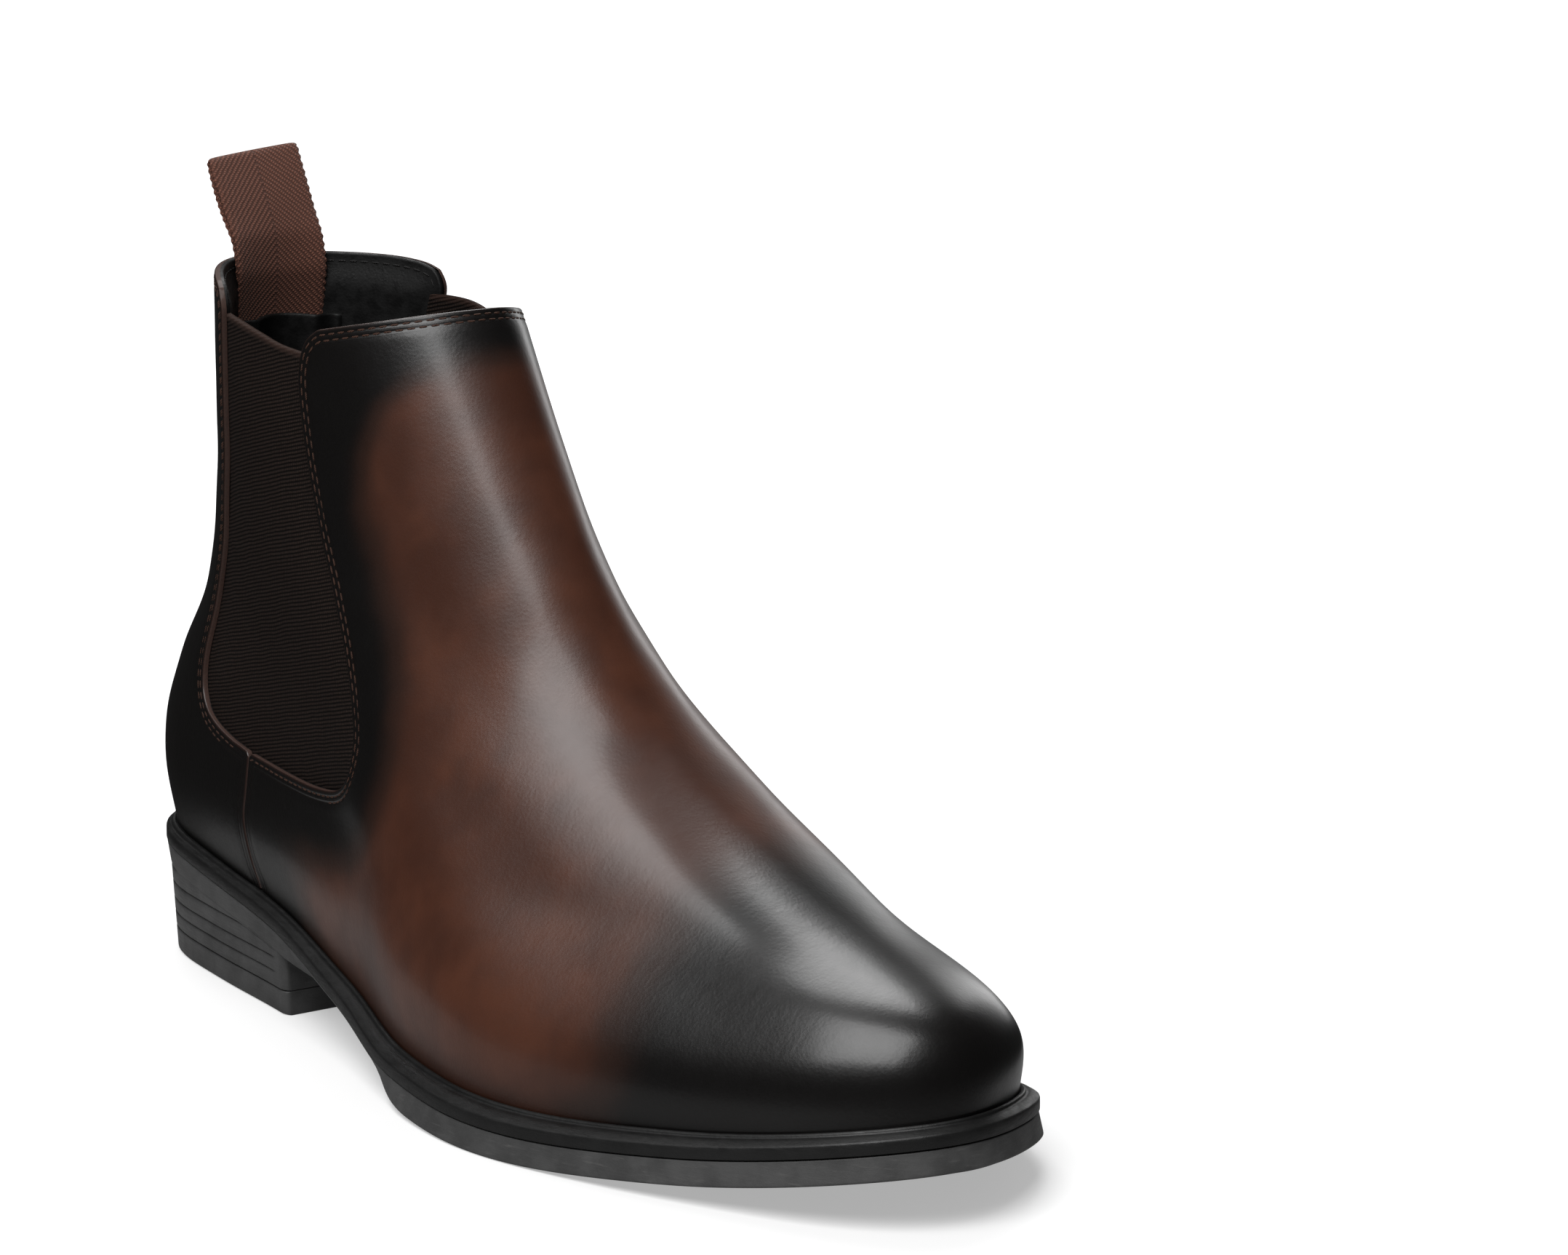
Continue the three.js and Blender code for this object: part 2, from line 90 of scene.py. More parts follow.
def unit(v):
    return v / np.maximum(np.linalg.norm(v, axis=-1, keepdims=True), 1e-12)


def smooth(xs, ys, fairing=0.0):
    """Smooth curve through stations, level at a local peak, with its bends eased over the fairing length."""
    xs, ys = np.array(xs, float), np.array(ys, float)
    h = np.diff(xs)
    d = np.diff(ys) / h
    m = np.concatenate([d[:1], np.zeros(len(xs) - 2), d[-1:]])
    same = d[:-1] * d[1:] > 0
    m[1:-1][same] = 2 * (d[:-1] * d[1:])[same] / (d[:-1] + d[1:])[same]

    x = np.linspace(xs[0], xs[-1], 2001)
    i = np.clip(np.searchsorted(xs, x, side="right") - 1, 0, len(xs) - 2)
    t = (x - xs[i]) / h[i]
    y = (1 + 2 * t) * (1 - t) ** 2 * ys[i] + t * (1 - t) ** 2 * h[i] * m[i]
    y += t * t * (3 - 2 * t) * ys[i + 1] - t * t * (1 - t) * h[i] * m[i + 1]
    if fairing:
        step = x[1] - x[0]
        reach = int(4 * fairing / step)
        k = np.exp(-0.5 * (np.arange(-reach, reach + 1) * step / fairing) ** 2)
        before = y[0] - (y[1] - y[0]) * np.arange(reach, 0, -1)
        after = y[-1] + (y[-1] - y[-2]) * np.arange(1, reach + 1)
        y = np.convolve(np.concatenate([before, y, after]), k / k.sum(), "valid")
    return lambda v: np.interp(v, x, y)


def spline(points, steps):
    """Catmull-Rom curve through points."""
    p = np.array([points[0], *points, points[-1]], float)
    out = []
    for w in np.linspace(0, len(points) - 1, steps + 1):
        i = min(int(w), len(points) - 2)
        t = w - i
        a, b, c, d = p[i:i + 4]
        m0, m1 = (c - a) / 2, (d - b) / 2
        out.append(
            (2 * b - 2 * c + m0 + m1) * t**3 + (3 * c - 3 * b - 2 * m0 - m1) * t**2 + m0 * t + b
        )
    return [tuple(v) for v in out]


# ---------- sole plan and heights
PLAN = [0, 0.06, 0.14, 0.26, 0.4, 0.53, 0.66, 0.78, 0.88, 0.95, 1]
OUTER = [0, 24.8, 29.6, 34, 42, 53, 56.5, 47.5, 36, 25, 0]
INNER = [0, 26, 31.5, 33.5, 32, 36, 46.5, 50, 43.5, 31, 0]
HEEL_ROUND, TOE_ROUND, TOE_SWING = 66, 59, 2.5


def fullness(half_widths):
    g = [w / (2 * math.sqrt(s * (1 - s)) or 1) for s, w in zip(PLAN, half_widths)]
    return smooth(PLAN, [HEEL_ROUND, *g[1:-1], TOE_ROUND], 0.02)


outer_full, inner_full = fullness(OUTER), fullness(INNER)
rim = smooth([0, 40, 80, 120, 160, 205, 250, 302], [33, 29.5, 25, 17, 10.4, 9, 12.4, 21.5], 5)
wall = smooth([0, 88, 112, 135, 170, 302], [9, 9, 7.4, 7.4, 9, 9], 3)
bevel = smooth([0, 84, 112, 135, 170, 302], [0.8, 1.5, 5.5, 4.5, -1, -1], 3)


def rim_at(y):
    return rim(HALF - y)


def plan(a):
    s = (1 - np.cos(a)) / 2
    w = np.sin(a)
    x = TOE_SWING * ease(s) - w * np.where(w > 0, outer_full(s), inner_full(s))
    return np.stack([x, HALF - SOLE_LENGTH * s], -1)


def edge(a, inset=0.0):
    """Sole outline at angle a (0 heel, pi toe, positive outer side), moved inwards by inset."""
    p = plan(a)
    t = unit(plan(a + 0.01) - plan(a - 0.01))
    side = np.stack([-t[..., 1], t[..., 0]], -1)
    return p + side * np.asarray(inset)[..., None]


# ---------- shape of the last
LEVEL = [0, 0.05, 0.13, 0.24, 0.37, 0.52, 0.72, 1]
FAIR = 0.02
front_y = smooth(LEVEL, [-146.8, -147, -139.5, -107, -69.5, -35, -11.5, 24.5], FAIR)
front_z = smooth(LEVEL, [23, 31.8, 42.6, 51.6, 66.8, 89.5, 121.5, 181], FAIR)
back_y = smooth(LEVEL, [148.3, 151.8, 152.8, 146, 135, 131, 130, 124], FAIR)
back_z = smooth(LEVEL, [34.5, 46, 59.5, 77.5, 98, 120, 148, 189.5], FAIR)
shaft_share = smooth(LEVEL, [0, 0.01, 0.08, 0.2, 0.55, 0.77, 0.98, 1], FAIR)
bulge = smooth([0, 0.08, 0.24, 1], [1, 1.06, 1, 1], 0.01)
front_swing = smooth(LEVEL, [0, 0.5, 1.5, 2.0, 1.0, -1.2, -3.5, -5.5], FAIR)
shaft_outer = smooth([0, 0.35, 0.7, 1], [31, 34.5, 32, 31], 0.03)
shaft_inner = smooth([0, 0.35, 0.7, 1], [32, 37, 28.5, 25], 0.03)
feather = smooth([0, 0.25, 0.45, 0.7, 1], [2.8, 3.2, 4.5, 5.6, 4.2], 0.03)
HEEL_END = edge(np.array(0.0), feather(0))[1]
TOE_END = edge(np.array(math.pi), feather(1))[1]
TOE_TAPER = 0.22        # the toe box rounds in above the welt
STRETCH_T, STRETCH_A = 220.0, 60.0     # rough millimetres per unit of t and of a


def feather_at(a):
    return feather((1 - np.cos(a)) / 2)


def last_point(t, a):
    """Point on the boot's outer face: t from 0 at the welt to 1 above the topline, a round the foot."""
    f = edge(a, feather_at(a))
    s = np.clip((HEEL_END - f[..., 1]) / (HEEL_END - TOE_END), 0, 1)
    oval = 2 * np.sqrt(s * (1 - s))
    shaft = oval * np.where(np.sin(a) > 0, -shaft_outer(s), shaft_inner(s))
    narrow = 1 - TOE_TAPER * ease(t, 0.02, 0.2) * ease(t, 0.42, 0.2) * ease(s, 0.5, 0.95)
    x = lerp(f[..., 0] * bulge(t) * narrow, shaft, shaft_share(t)) + front_swing(t) * ease(s)
    y = lerp(back_y(t), front_y(t), s)
    camber = rim_at(f[..., 1]) + WELT_TOP + GAP + 0.05 - lerp(back_z(0), front_z(0), s)
    z = lerp(back_z(t), front_z(t), s) + camber * (1 - t) ** 4
    return np.stack([x, y, z], -1)


def frame_at(t, a):
    """Point and outward normal on the outer face."""
    h = 0.008
    p = last_point(t, a)
    da = last_point(t, a + h) - last_point(t, a - h)
    dt = last_point(np.minimum(1, t + h), a) - last_point(np.maximum(0, t - h), a)
    up = np.zeros_like(dt)
    up[..., 2] = np.linalg.norm(dt, axis=-1)
    dt = lerp(up, dt, ease(t, 0.0, 0.05)[..., None])
    return p, -unit(np.cross(dt, da))


def last(t, a, depth=0.0):
    """Point inside the outer face by depth, along its normal."""
    p, n = frame_at(t, a)
    q = p - n * np.broadcast_to(depth, t.shape)[..., None]
    q[..., 2] += (rim_at(q[..., 1]) - rim_at(p[..., 1])) * (1 - t) ** 12
    return q


# ---------- side-view outlines
FRONT_EDGE = [
    (48, 168.5), (52, 165), (53.8, 158), (52.5, 148), (49, 134), (44, 121), (37, 108),
    (31, 96), (26.5, 84), (25, 75), (27.5, 67.5), (35, 62.8), (48, 60.6), (66, 60.2), (86.5, 61),
]
FRONT_TOP = [(-60, 178), (-20, 178), (8, 177.8), (20, 174.9), (34, 171.5), (48, 168.5)]
SEAM = [(86.5, 61), (86.8, 52), (87.5, 44), (85.5, 35), (81, 26), (79, 10)]
BACK_EDGE = [
    (96, 62.2), (105, 64.2), (111.5, 67), (115.3, 72), (115.5, 80), (112.5, 93),
    (107.5, 107), (101.5, 126), (97, 146), (93.5, 162), (92.5, 168.5), (94.5, 172.6),
]
BACK_TOP = [
    (94.5, 172.6), (100, 174.4), (112, COLLAR_TOP), (140, COLLAR_TOP + 0.3), (170, COLLAR_TOP + 0.5),
]
GORE_TOP = [(98, 166.9), (84, 166.5), (72, 165), (62, 163.2), (50, 161.8), (40, 160.5)]

front_line = spline(FRONT_EDGE, 110)
front_top = spline(FRONT_TOP, 40)
seam_line = spline(SEAM, 30)
back_line = spline(BACK_EDGE, 90)
back_top = spline(BACK_TOP, 40)


def shifted(line, distance):
    """The line moved sideways, to its left."""
    p = np.array(line)
    t = unit(np.gradient(p, axis=0))
    return [tuple(v) for v in p + np.stack([t[:, 1], -t[:, 0]], -1) * distance]


def front_outline(back):
    side = shifted(front_line, back) + shifted(seam_line[1:], 0.1 * back + 0.15)
    return [(-200, 0), (-200, 178), *[(y, z - 0.6 * back) for y, z in front_top[:-1]], *side]


def back_outline(back):
    seam = shifted(seam_line[::-1], 0.1 * back + 0.15)
    top = [(y, z - 0.6 * back) for y, z in back_top[1:]]
    return [*seam, *shifted(back_line, back), *top, (170, 0)]


def gore_outline(margin):
    top = spline([(93 + margin, 166.8), *GORE_TOP[1:4], (53 - margin, 162)], 30)
    return [*shifted(front_line[30:], margin), *shifted(back_line[:72], margin), *top]


def line_distance(line, y, z, closed=False):
    """Distance in the side view from a line."""
    p = np.array(line, float)
    q = np.roll(p, -1, axis=0)
    count = len(p) if closed else len(p) - 1
    best = np.full(y.shape, 1e12)
    for (ay, az), (by, bz) in zip(p[:count], q[:count]):
        dy, dz = by - ay, bz - az
        w = np.clip(((y - ay) * dy + (z - az) * dz) / (dy * dy + dz * dz + 1e-12), 0, 1)
        best = np.minimum(best, (y - ay - w * dy) ** 2 + (z - az - w * dz) ** 2)
    return np.sqrt(best)


def inside_of(line, y, z):
    p = np.array(line, float)
    inside = np.zeros(y.shape, bool)
    for (ay, az), (by, bz) in zip(p, np.roll(p, -1, axis=0)):
        if az != bz:
            inside ^= ((az > z) != (bz > z)) & (y < (by - ay) * (z - az) / (bz - az) + ay)
    return inside


# ---------- trimmed sheets
class Cut:
    """The part of the surface inside a side-view outline, on a grid of levels t and angles a."""

    def __init__(self, outline, levels, around, looped=True, depth=0.0):
        self.outline, self.depth, self.looped = outline, depth, looped
        self.shape = (len(levels), len(around))
        t, a = np.meshgrid(levels, around, indexing="ij")
        self.t, self.a = t.ravel(), a.ravel()
        self.f = self.field(self.t, self.a)

    def field(self, t, a):
        """Signed distance inside the outline."""
        p = last(t, a, self.depth)
        y, z = p[..., 1], p[..., 2]
        d = line_distance(self.outline, y, z, closed=True)
        return np.where(inside_of(self.outline, y, z), d, -d)

    def slopes(self, t, a):
        e = 1e-3
        f = self.field(t, a)
        return f, (self.field(t + e, a) - f) / e, (self.field(t, a + e) - f) / e

    def trim(self, low, snap=0.4):
        """Everything further than low inside: parameters, faces, and which points are on the border."""
        rows, cols = self.shape
        t, a, f = self.t.copy(), self.a.copy(), self.f - low
        near = np.abs(f) < snap
        for _ in range(3):
            v, vt, va = self.slopes(t[near], a[near])
            size = (vt / STRETCH_T) ** 2 + (va / STRETCH_A) ** 2 + 1e-12
            t[near] = np.clip(t[near] - (v - low) * vt / STRETCH_T**2 / size, 0, 1)
            a[near] -= (v - low) * va / STRETCH_A**2 / size
        v = self.field(t[near], a[near]) - low
        f[near] = np.where(np.abs(v) < 0.05, 0, v)

        cell = grid_faces(rows, cols, self.looped)
        c = f[cell]
        some = (c > 0).any(1)
        whole = cell[some & (c >= 0).all(1)]
        faces, crossing, ends = [], {}, []
        for quad in cell[some & (c < 0).any(1)].tolist():
            face = []
            for p, q in zip(quad, quad[1:] + quad[:1]):
                if f[p] >= 0:
                    face.append(p)
                if f[p] * f[q] < 0:
                    key = (min(p, q), max(p, q))
                    if key not in crossing:
                        crossing[key] = len(t) + len(crossing)
                        ends.append((p, q) if f[p] > 0 else (q, p))
                    face.append(crossing[key])
            if len(face) > 2:
                faces.append(face)
        on = f == 0
        if ends:
            p, q = np.array(ends).T
            qa = a[q] + 2 * math.pi * np.round((a[p] - a[q]) / (2 * math.pi))
            near_end, far_end = np.zeros(len(p)), np.ones(len(p))
            for _ in range(12):
                w = (near_end + far_end) / 2
                v = self.field(lerp(t[p], t[q], w), lerp(a[p], qa, w)) - low
                near_end, far_end = np.where(v > 0, w, near_end), np.where(v > 0, far_end, w)
            t = np.concatenate([t, lerp(t[p], t[q], near_end)])
            a = np.concatenate([a, lerp(a[p], qa, near_end)])
            on = np.concatenate([on, np.ones(len(p), bool)])
        return t, a, whole, faces, on

    def chains(self, low):
        """The lines that lie low inside the border, each as parameters t, a."""
        t, a, whole, faces, on = self.trim(low)
        after = {int(p): int(q) for p, q in border_edges(whole, faces, on)}
        heads = [p for p in after if p not in set(after.values())] or [next(iter(after))]
        seen, out = set(), []
        for head in heads + list(after):
            line = []
            while head in after and head not in seen:
                seen.add(head)
                line.append(head)
                head = after[head]
            if len(line) > 8:
                out.append((t[line], np.unwrap(a[line])))
        return out


def border_edges(whole, faces, on):
    """Edges used by one face only, with both ends on the border, in their face's order."""
    pairs = [np.stack([whole[:, i], whole[:, (i + 1) % 4]], -1) for i in range(4)]
    loose = [(p, q) for face in faces for p, q in zip(face, face[1:] + face[:1])]
    e = np.concatenate([*pairs, np.array(loose, int).reshape(-1, 2)]).astype(np.int64)
    e = e[on[e].all(1)]
    key = e.min(1) * (1 << 32) + e.max(1)
    _, first, count = np.unique(key, return_index=True, return_counts=True)
    return e[first[count == 1]]


def grid_faces(rows, cols, looped=False):
    i, j = np.meshgrid(np.arange(rows - 1), np.arange(cols if looped else cols - 1), indexing="ij")
    k = (j + 1) % cols
    return np.stack([i * cols + j, i * cols + k, (i + 1) * cols + k, (i + 1) * cols + j], -1).reshape(-1, 4)


class Build:
    """Collects points, faces and per-point values, then makes one object of them."""

    def __init__(self, *names):
        self.points, self.faces, self.count = [], [], 0
        self.values = {name: [] for name in names}

    def add(self, points, *faces, **values):
        points = np.asarray(points, float).reshape(-1, 3)
        for group in faces:
            if len(group):
                self.faces.append(np.atleast_2d(np.asarray(group, np.int64)) + self.count)
        for name, rows in self.values.items():
            value = np.asarray(values.get(name, 0.0), float).ravel()
            rows.append(np.broadcast_to(value, (len(points),)))
        self.points.append(points)
        self.count += len(points)

    def grid(self, points, looped=False, **values):
        """Rows by columns of points; looped joins the last column to the first."""
        points = np.asarray(points, float)
        self.add(points, grid_faces(*points.shape[:2], looped), **values)

    def finish(self, name, body, slot, material, replaced=(), flip=False):
        points = (np.concatenate(self.points) + SHIFT) / 1000
        sizes = np.concatenate([np.full(len(f), f.shape[1]) for f in self.faces])
        corners = np.concatenate([(f[:, ::-1] if flip else f).ravel() for f in self.faces])
        used = np.zeros(len(points), bool)
        used[corners] = True
        number = np.cumsum(used) - 1
        mesh = bpy.data.meshes.new(name)
        mesh.vertices.add(int(used.sum()))
        mesh.vertices.foreach_set("co", points[used].astype(np.float32).ravel())
        mesh.loops.add(len(corners))
        mesh.loops.foreach_set("vertex_index", number[corners].astype(np.int32))
        mesh.polygons.add(len(sizes))
        mesh.polygons.foreach_set("loop_start", (np.cumsum(sizes) - sizes).astype(np.int32))
        mesh.update(calc_edges=True)
        for key, rows in self.values.items():
            data = mesh.attributes.new(key, "FLOAT", "POINT").data
            data.foreach_set("value", np.concatenate(rows)[used].astype(np.float32))
        mesh.validate()
        mesh.polygons.foreach_set("use_smooth", np.ones(len(mesh.polygons), bool))
        mesh.materials.append(material)
        obj = bpy.data.objects.new(name, mesh)
        bpy.context.scene.collection.objects.link(obj)
        if body:
            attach(obj, body)
        if replaced:
            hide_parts(*replaced)
        return obj


# Rounded cut edge: how far out from the trimmed sheet, and how far down.
ROUND = [(0, 0), (0.14, 0.02), (0.28, 0.08), (0.4, 0.19), (0.48, 0.33), (0.52, 0.5)]
EDGE = ROUND[-1][0]


def sheet_piece(build, cut, depth, thick, inward=False, **extra):
    """A trimmed sheet with a rounded cut edge; depth depends on t, a and the distance from the edge."""
    t, a, whole, faces, on = cut.trim(EDGE)
    d = np.where(on, EDGE, cut.field(t, a))
    _, n = frame_at(t, a)
    p = last(t, a, depth(t, a, d))
    values = {name: f(t, a, p, d) for name, f in extra.items()}
    by_size = {}
    for face in faces:
        by_size.setdefault(len(face), []).append(face)
    build.add(p, whole, *by_size.values(), edge=np.clip(d, 0, 30), **values)

    e = border_edges(whole, faces, on)
    ids = np.unique(e)
    ta, aa = t[ids], a[ids]
    _, ft, fa = cut.slopes(ta, aa)
    h = 1e-3
    pt = (last(ta + h, aa) - last(ta, aa)) / h
    pa = (last(ta, aa + h) - last(ta, aa)) / h
    ee, gg, ff = (pt * pt).sum(-1), (pa * pa).sum(-1), (pt * pa).sum(-1)
    det = ee * gg - ff * ff
    out = -unit(pt * ((gg * ft - ff * fa) / det)[:, None] + pa * ((ee * fa - ff * ft) / det)[:, None])
    inner = n[ids] * (-1 if inward else 1)
    profile = [*ROUND, (EDGE, thick)]
    rows = [p[ids] + out * o - inner * s for o, s in profile]
    low = np.searchsorted(ids, e)
    m = len(ids)
    strips = [
        np.stack([low[:, 1], low[:, 0], low[:, 0] + m, low[:, 1] + m], -1) + k * m
        for k in range(len(profile) - 1)
    ]
    shared = {name: np.tile(v[ids], len(profile)) for name, v in values.items()}
    shared["edge"] = np.repeat([EDGE - min(o, EDGE) for o, _ in profile], m)
    shared["cut"] = np.repeat([ease(s, 0.1, 0.35) for _, s in profile], m)
    build.add(np.concatenate(rows), *strips, **shared)


def level_depth(depth):
    """A sheet's depth that is the same all over."""
    return lambda t, a, d: np.full(t.shape, depth)


# One stitch: a plump bead of thread, as rings from end to end of (along, radius).
BEAD = [(-1, 0.0), (-0.92, 0.5), (-0.7, 0.88), (0, 1.0), (0.7, 0.88), (0.92, 0.5), (1, 0.0)]


def stitch_row(build, points, normals, pitch=2.8, length=1.95, width=0.5, height=0.36, sink=0.02):
    """Stitches along a line of points on a surface."""
    step = np.linalg.norm(np.diff(points, axis=0), axis=1)
    at = np.concatenate([[0], np.cumsum(step)])
    count = max(2, int(at[-1] / pitch))
    middle = (np.arange(count) + 0.5) * at[-1] / count
    pick = lambda v, where: np.stack([np.interp(where, at, v[:, k]) for k in range(3)], -1)
    centre = pick(points, middle)
    along = unit(pick(points, middle + 0.8) - pick(points, middle - 0.8))
    up = unit(pick(normals, middle))
    side = unit(np.cross(up, along))
    angle = np.linspace(0, 2 * math.pi, 9)[:-1]
    u = np.array([b[0] for b in BEAD])[:, None] * length / 2 * np.ones(8)
    r = np.array([b[1] for b in BEAD])[:, None]
    v, w = r * np.cos(angle) * width / 2, r * np.sin(angle) * height / 2
    rings = (
        centre[:, None, None] + along[:, None, None] * u[..., None]
        + side[:, None, None] * v[..., None] + up[:, None, None] * (w[..., None] - sink)
    )
    for ring in rings:
        build.grid(ring, looped=True)


def stitches_inside(build, cut, lows, depth, wanted, inward=False, **shape):
    """Rows of stitches parallel to a sheet's border, where wanted(points) holds."""
    for low in lows:
        for t, a in cut.chains(low):
            p, n = last(t, a, depth), frame_at(t, a)[1] * (-1 if inward else 1)
            good = wanted(p)
            runs = np.split(np.arange(len(t)), np.flatnonzero(np.diff(good.astype(int))) + 1)
            for run in runs:
                if good[run[0]] and len(run) > 6:
                    stitch_row(build, p[run], n[run], **shape)


# ---------- node materials
class Paint:
    """A node material built up step by step; texture sizes are in millimetres."""

    def __init__(self, name, **sockets):
        self.material = bpy.data.materials.new(name)
        self.material.use_nodes = True
        self.tree = self.material.node_tree
        self.shader = self.tree.nodes["Principled BSDF"]
        for key, value in sockets.items():
            self.shader.inputs[key.replace("_", " ")].default_value = value
        place = self.tree.nodes.new("ShaderNodeTexCoord").outputs["Object"]
        mapped = {"Vector": place, "Scale": (1000, 1000, 1000)}
        self.place = self.node("ShaderNodeMapping", mapped).outputs[0]

    def node(self, kind, inputs=None, **settings):
        made = self.tree.nodes.new(kind)
        for key, value in settings.items():
            setattr(made, key, value)
        for key, value in (inputs or {}).items():
            if isinstance(value, bpy.types.NodeSocket):
                self.tree.links.new(value, made.inputs[key])
            else:
                made.inputs[key].default_value = value
        return made

    def turned(self, turn=(0, 0, 0), stretch=(1, 1, 1)):
        inputs = {"Vector": self.place, "Rotation": turn, "Scale": stretch}
        return self.node("ShaderNodeMapping", inputs).outputs[0]

    def place_axis(self, axis):
        return self.node("ShaderNodeSeparateXYZ", {"Vector": self.place}).outputs[axis]

    def noise(self, size, detail=3.0, rough=0.55, where=None):
        inputs = {"Vector": where or self.place, "Scale": 1 / size, "Detail": detail, "Roughness": rough}
        return self.node("ShaderNodeTexNoise", inputs).outputs[0]

    def cells(self, size, feature="F1", where=None):
        inputs = {"Vector": where or self.place, "Scale": 1 / size}
        return self.node("ShaderNodeTexVoronoi", inputs, feature=feature).outputs["Distance"]

    def value(self, name):
        return self.node("ShaderNodeAttribute", attribute_name=name).outputs["Fac"]

    def math(self, operation, *values):
        made = self.tree.nodes.new("ShaderNodeMath")
        made.operation = operation
        for socket, value in zip(made.inputs, values):
            if isinstance(value, bpy.types.NodeSocket):
                self.tree.links.new(value, socket)
            else:
                socket.default_value = value
        return made.outputs[0]

    def span(self, value, low, high, to_low=0.0, to_high=1.0):
        inputs = {"Value": value, "From Min": low, "From Max": high, "To Min": to_low, "To Max": to_high}
        return self.node("ShaderNodeMapRange", inputs, interpolation_type="SMOOTHSTEP").outputs[0]

    def mix(self, amount, a, b):
        made = self.tree.nodes.new("ShaderNodeMix")
        made.data_type = "RGBA"
        for socket, value in zip((made.inputs[0], made.inputs[6], made.inputs[7]), (amount, a, b)):
            if isinstance(value, bpy.types.NodeSocket):
                self.tree.links.new(value, socket)
            else:
                socket.default_value = (*value, 1) if isinstance(value, tuple) else value
        return made.outputs[2]

    def total(self, *weighted):
        """Sum of (socket, factor) pairs."""
        out = 0.0
        for socket, factor in weighted:
            out = self.math("MULTIPLY_ADD", socket, factor, out)
        return out

    def groove(self, value, middle, half):
        """1 along a line where value equals middle, 0 beyond half either side."""
        away = self.math("ABSOLUTE", self.math("SUBTRACT", value, middle))
        return self.span(away, 0, half, 1, 0)

    def set(self, socket, value):
        self.tree.links.new(value, self.shader.inputs[socket])

    def bump(self, height, millimetres=1.0, strength=1.0):
        """Height in millimetres."""
        inputs = {"Height": height, "Strength": strength, "Distance": millimetres / 1000}
        self.set("Normal", self.node("ShaderNodeBump", inputs).outputs[0])


def leather_paint():
    m = Paint("burnished_calf", Coat_Weight=0.15, Coat_Roughness=0.18, Specular_IOR_Level=0.4)
    edge_d = m.value("edge")
    cloud = m.noise(30, 3, 0.55)
    haze = m.noise(9, 3, 0.5)
    dark = m.math("ADD", m.value("burnish"), m.total((cloud, 0.34), (haze, 0.10)))
    dark = m.span(dark, 0.22, 1.14)
    brown = m.mix(m.span(cloud, 0.35, 0.65), (0.034, 0.0112, 0.0060), (0.056, 0.0188, 0.0098))
    brown = m.mix(m.span(haze, 0.3, 0.75, 0, 0.35), brown, (0.030, 0.0105, 0.0062))
    middle = m.mix(m.span(dark, 0.0, 0.55), brown, (0.0165, 0.0072, 0.0048))
    colour = m.mix(m.span(dark, 0.45, 1.0), middle, (0.0030, 0.0026, 0.0025))
    row = m.math("MAXIMUM", m.groove(edge_d, 1.4, 0.55), m.groove(edge_d, 2.8, 0.55))
    colour = m.mix(m.math("MULTIPLY", row, 0.7), colour, (0.004, 0.003, 0.0025))
    worn = m.math("MULTIPLY", m.span(edge_d, 0.7, 0.1), 0.3)
    colour = m.mix(worn, colour, (0.030, 0.012, 0.008))
    raw = m.mix(m.noise(0.5, 3), (0.014, 0.006, 0.004), (0.045, 0.018, 0.011))
    colour = m.mix(m.value("cut"), colour, raw)
    m.set("Base Color", colour)
    pores = m.cells(0.8)
    crease = m.noise(3.4, 4, 0.55, m.turned(stretch=(0.5, 1.5, 0.8)))
    height = m.total((pores, 0.018), (m.noise(0.35, 2), 0.010), (crease, 0.045), (row, -0.12))
    m.bump(height, 1.0, 0.8)
    rough = m.total((haze, 0.08), (m.noise(2.2, 4, 0.65), 0.07))
    rough = m.math("ADD", rough, m.span(dark, 0, 1, 0.30, 0.27))
    m.set("Roughness", m.math("MAXIMUM", rough, m.math("MULTIPLY", m.value("cut"), 0.8)))
    return m.material


def gore_paint():
    m = Paint("elastic_rib", Roughness=0.85, Specular_IOR_Level=0.1)
    lean = m.turned(turn=(math.radians(14), 0, 0))
    axes = m.node("ShaderNodeSeparateXYZ", {"Vector": lean}).outputs
    wobble = m.total((m.noise(12, 2), 0.8), (m.noise(1.6, 2), 0.10))
    across = m.math("ADD", axes[2], wobble)
    rib = m.span(m.math("SINE", m.math("MULTIPLY", across, 2 * math.pi / 0.9)), -1, 0.8)
    slanted = m.math("ADD", axes[1], m.math("MULTIPLY", across, 0.35))
    knot = m.math("SINE", m.math("MULTIPLY", slanted, 2 * math.pi / 0.8))
    thread = m.math("MULTIPLY", rib, m.span(knot, -1, 1, 0.55, 1.0))
    fuzz = m.noise(0.45, 3, 0.7)
    bright = m.math("MULTIPLY", thread, m.span(fuzz, 0.3, 0.75, 0.5, 1.2))
    colour = m.mix(bright, (0.0018, 0.0011, 0.0009), (0.0190, 0.0118, 0.0092))
    top = m.span(m.value("roll"), 0.1, 1.0)
    colour = m.mix(m.math("MULTIPLY", top, 0.55), colour, (0.030, 0.016, 0.012))
    m.set("Base Color", colour)
    m.bump(m.total((thread, 0.16), (fuzz, 0.05)), 1.0, 1.0)
    return m.material


def lining_paint(name, shade=1.0):
    m = Paint(name, Roughness=0.55, Specular_IOR_Level=0.2)
    tone = m.mix(m.noise(9, 4), (0.0024 * shade,) * 3, (0.005 * shade,) * 3)
    m.set("Base Color", tone)
    m.set("Roughness", m.span(m.noise(3, 3), 0.3, 0.7, 0.42, 0.68))
    pores = m.cells(0.6, "SMOOTH_F1")
    m.bump(m.total((pores, 0.05), (m.noise(2.4, 3), 0.05), (m.noise(0.3, 2), 0.02)), 1.0, 0.9)
    return m.material


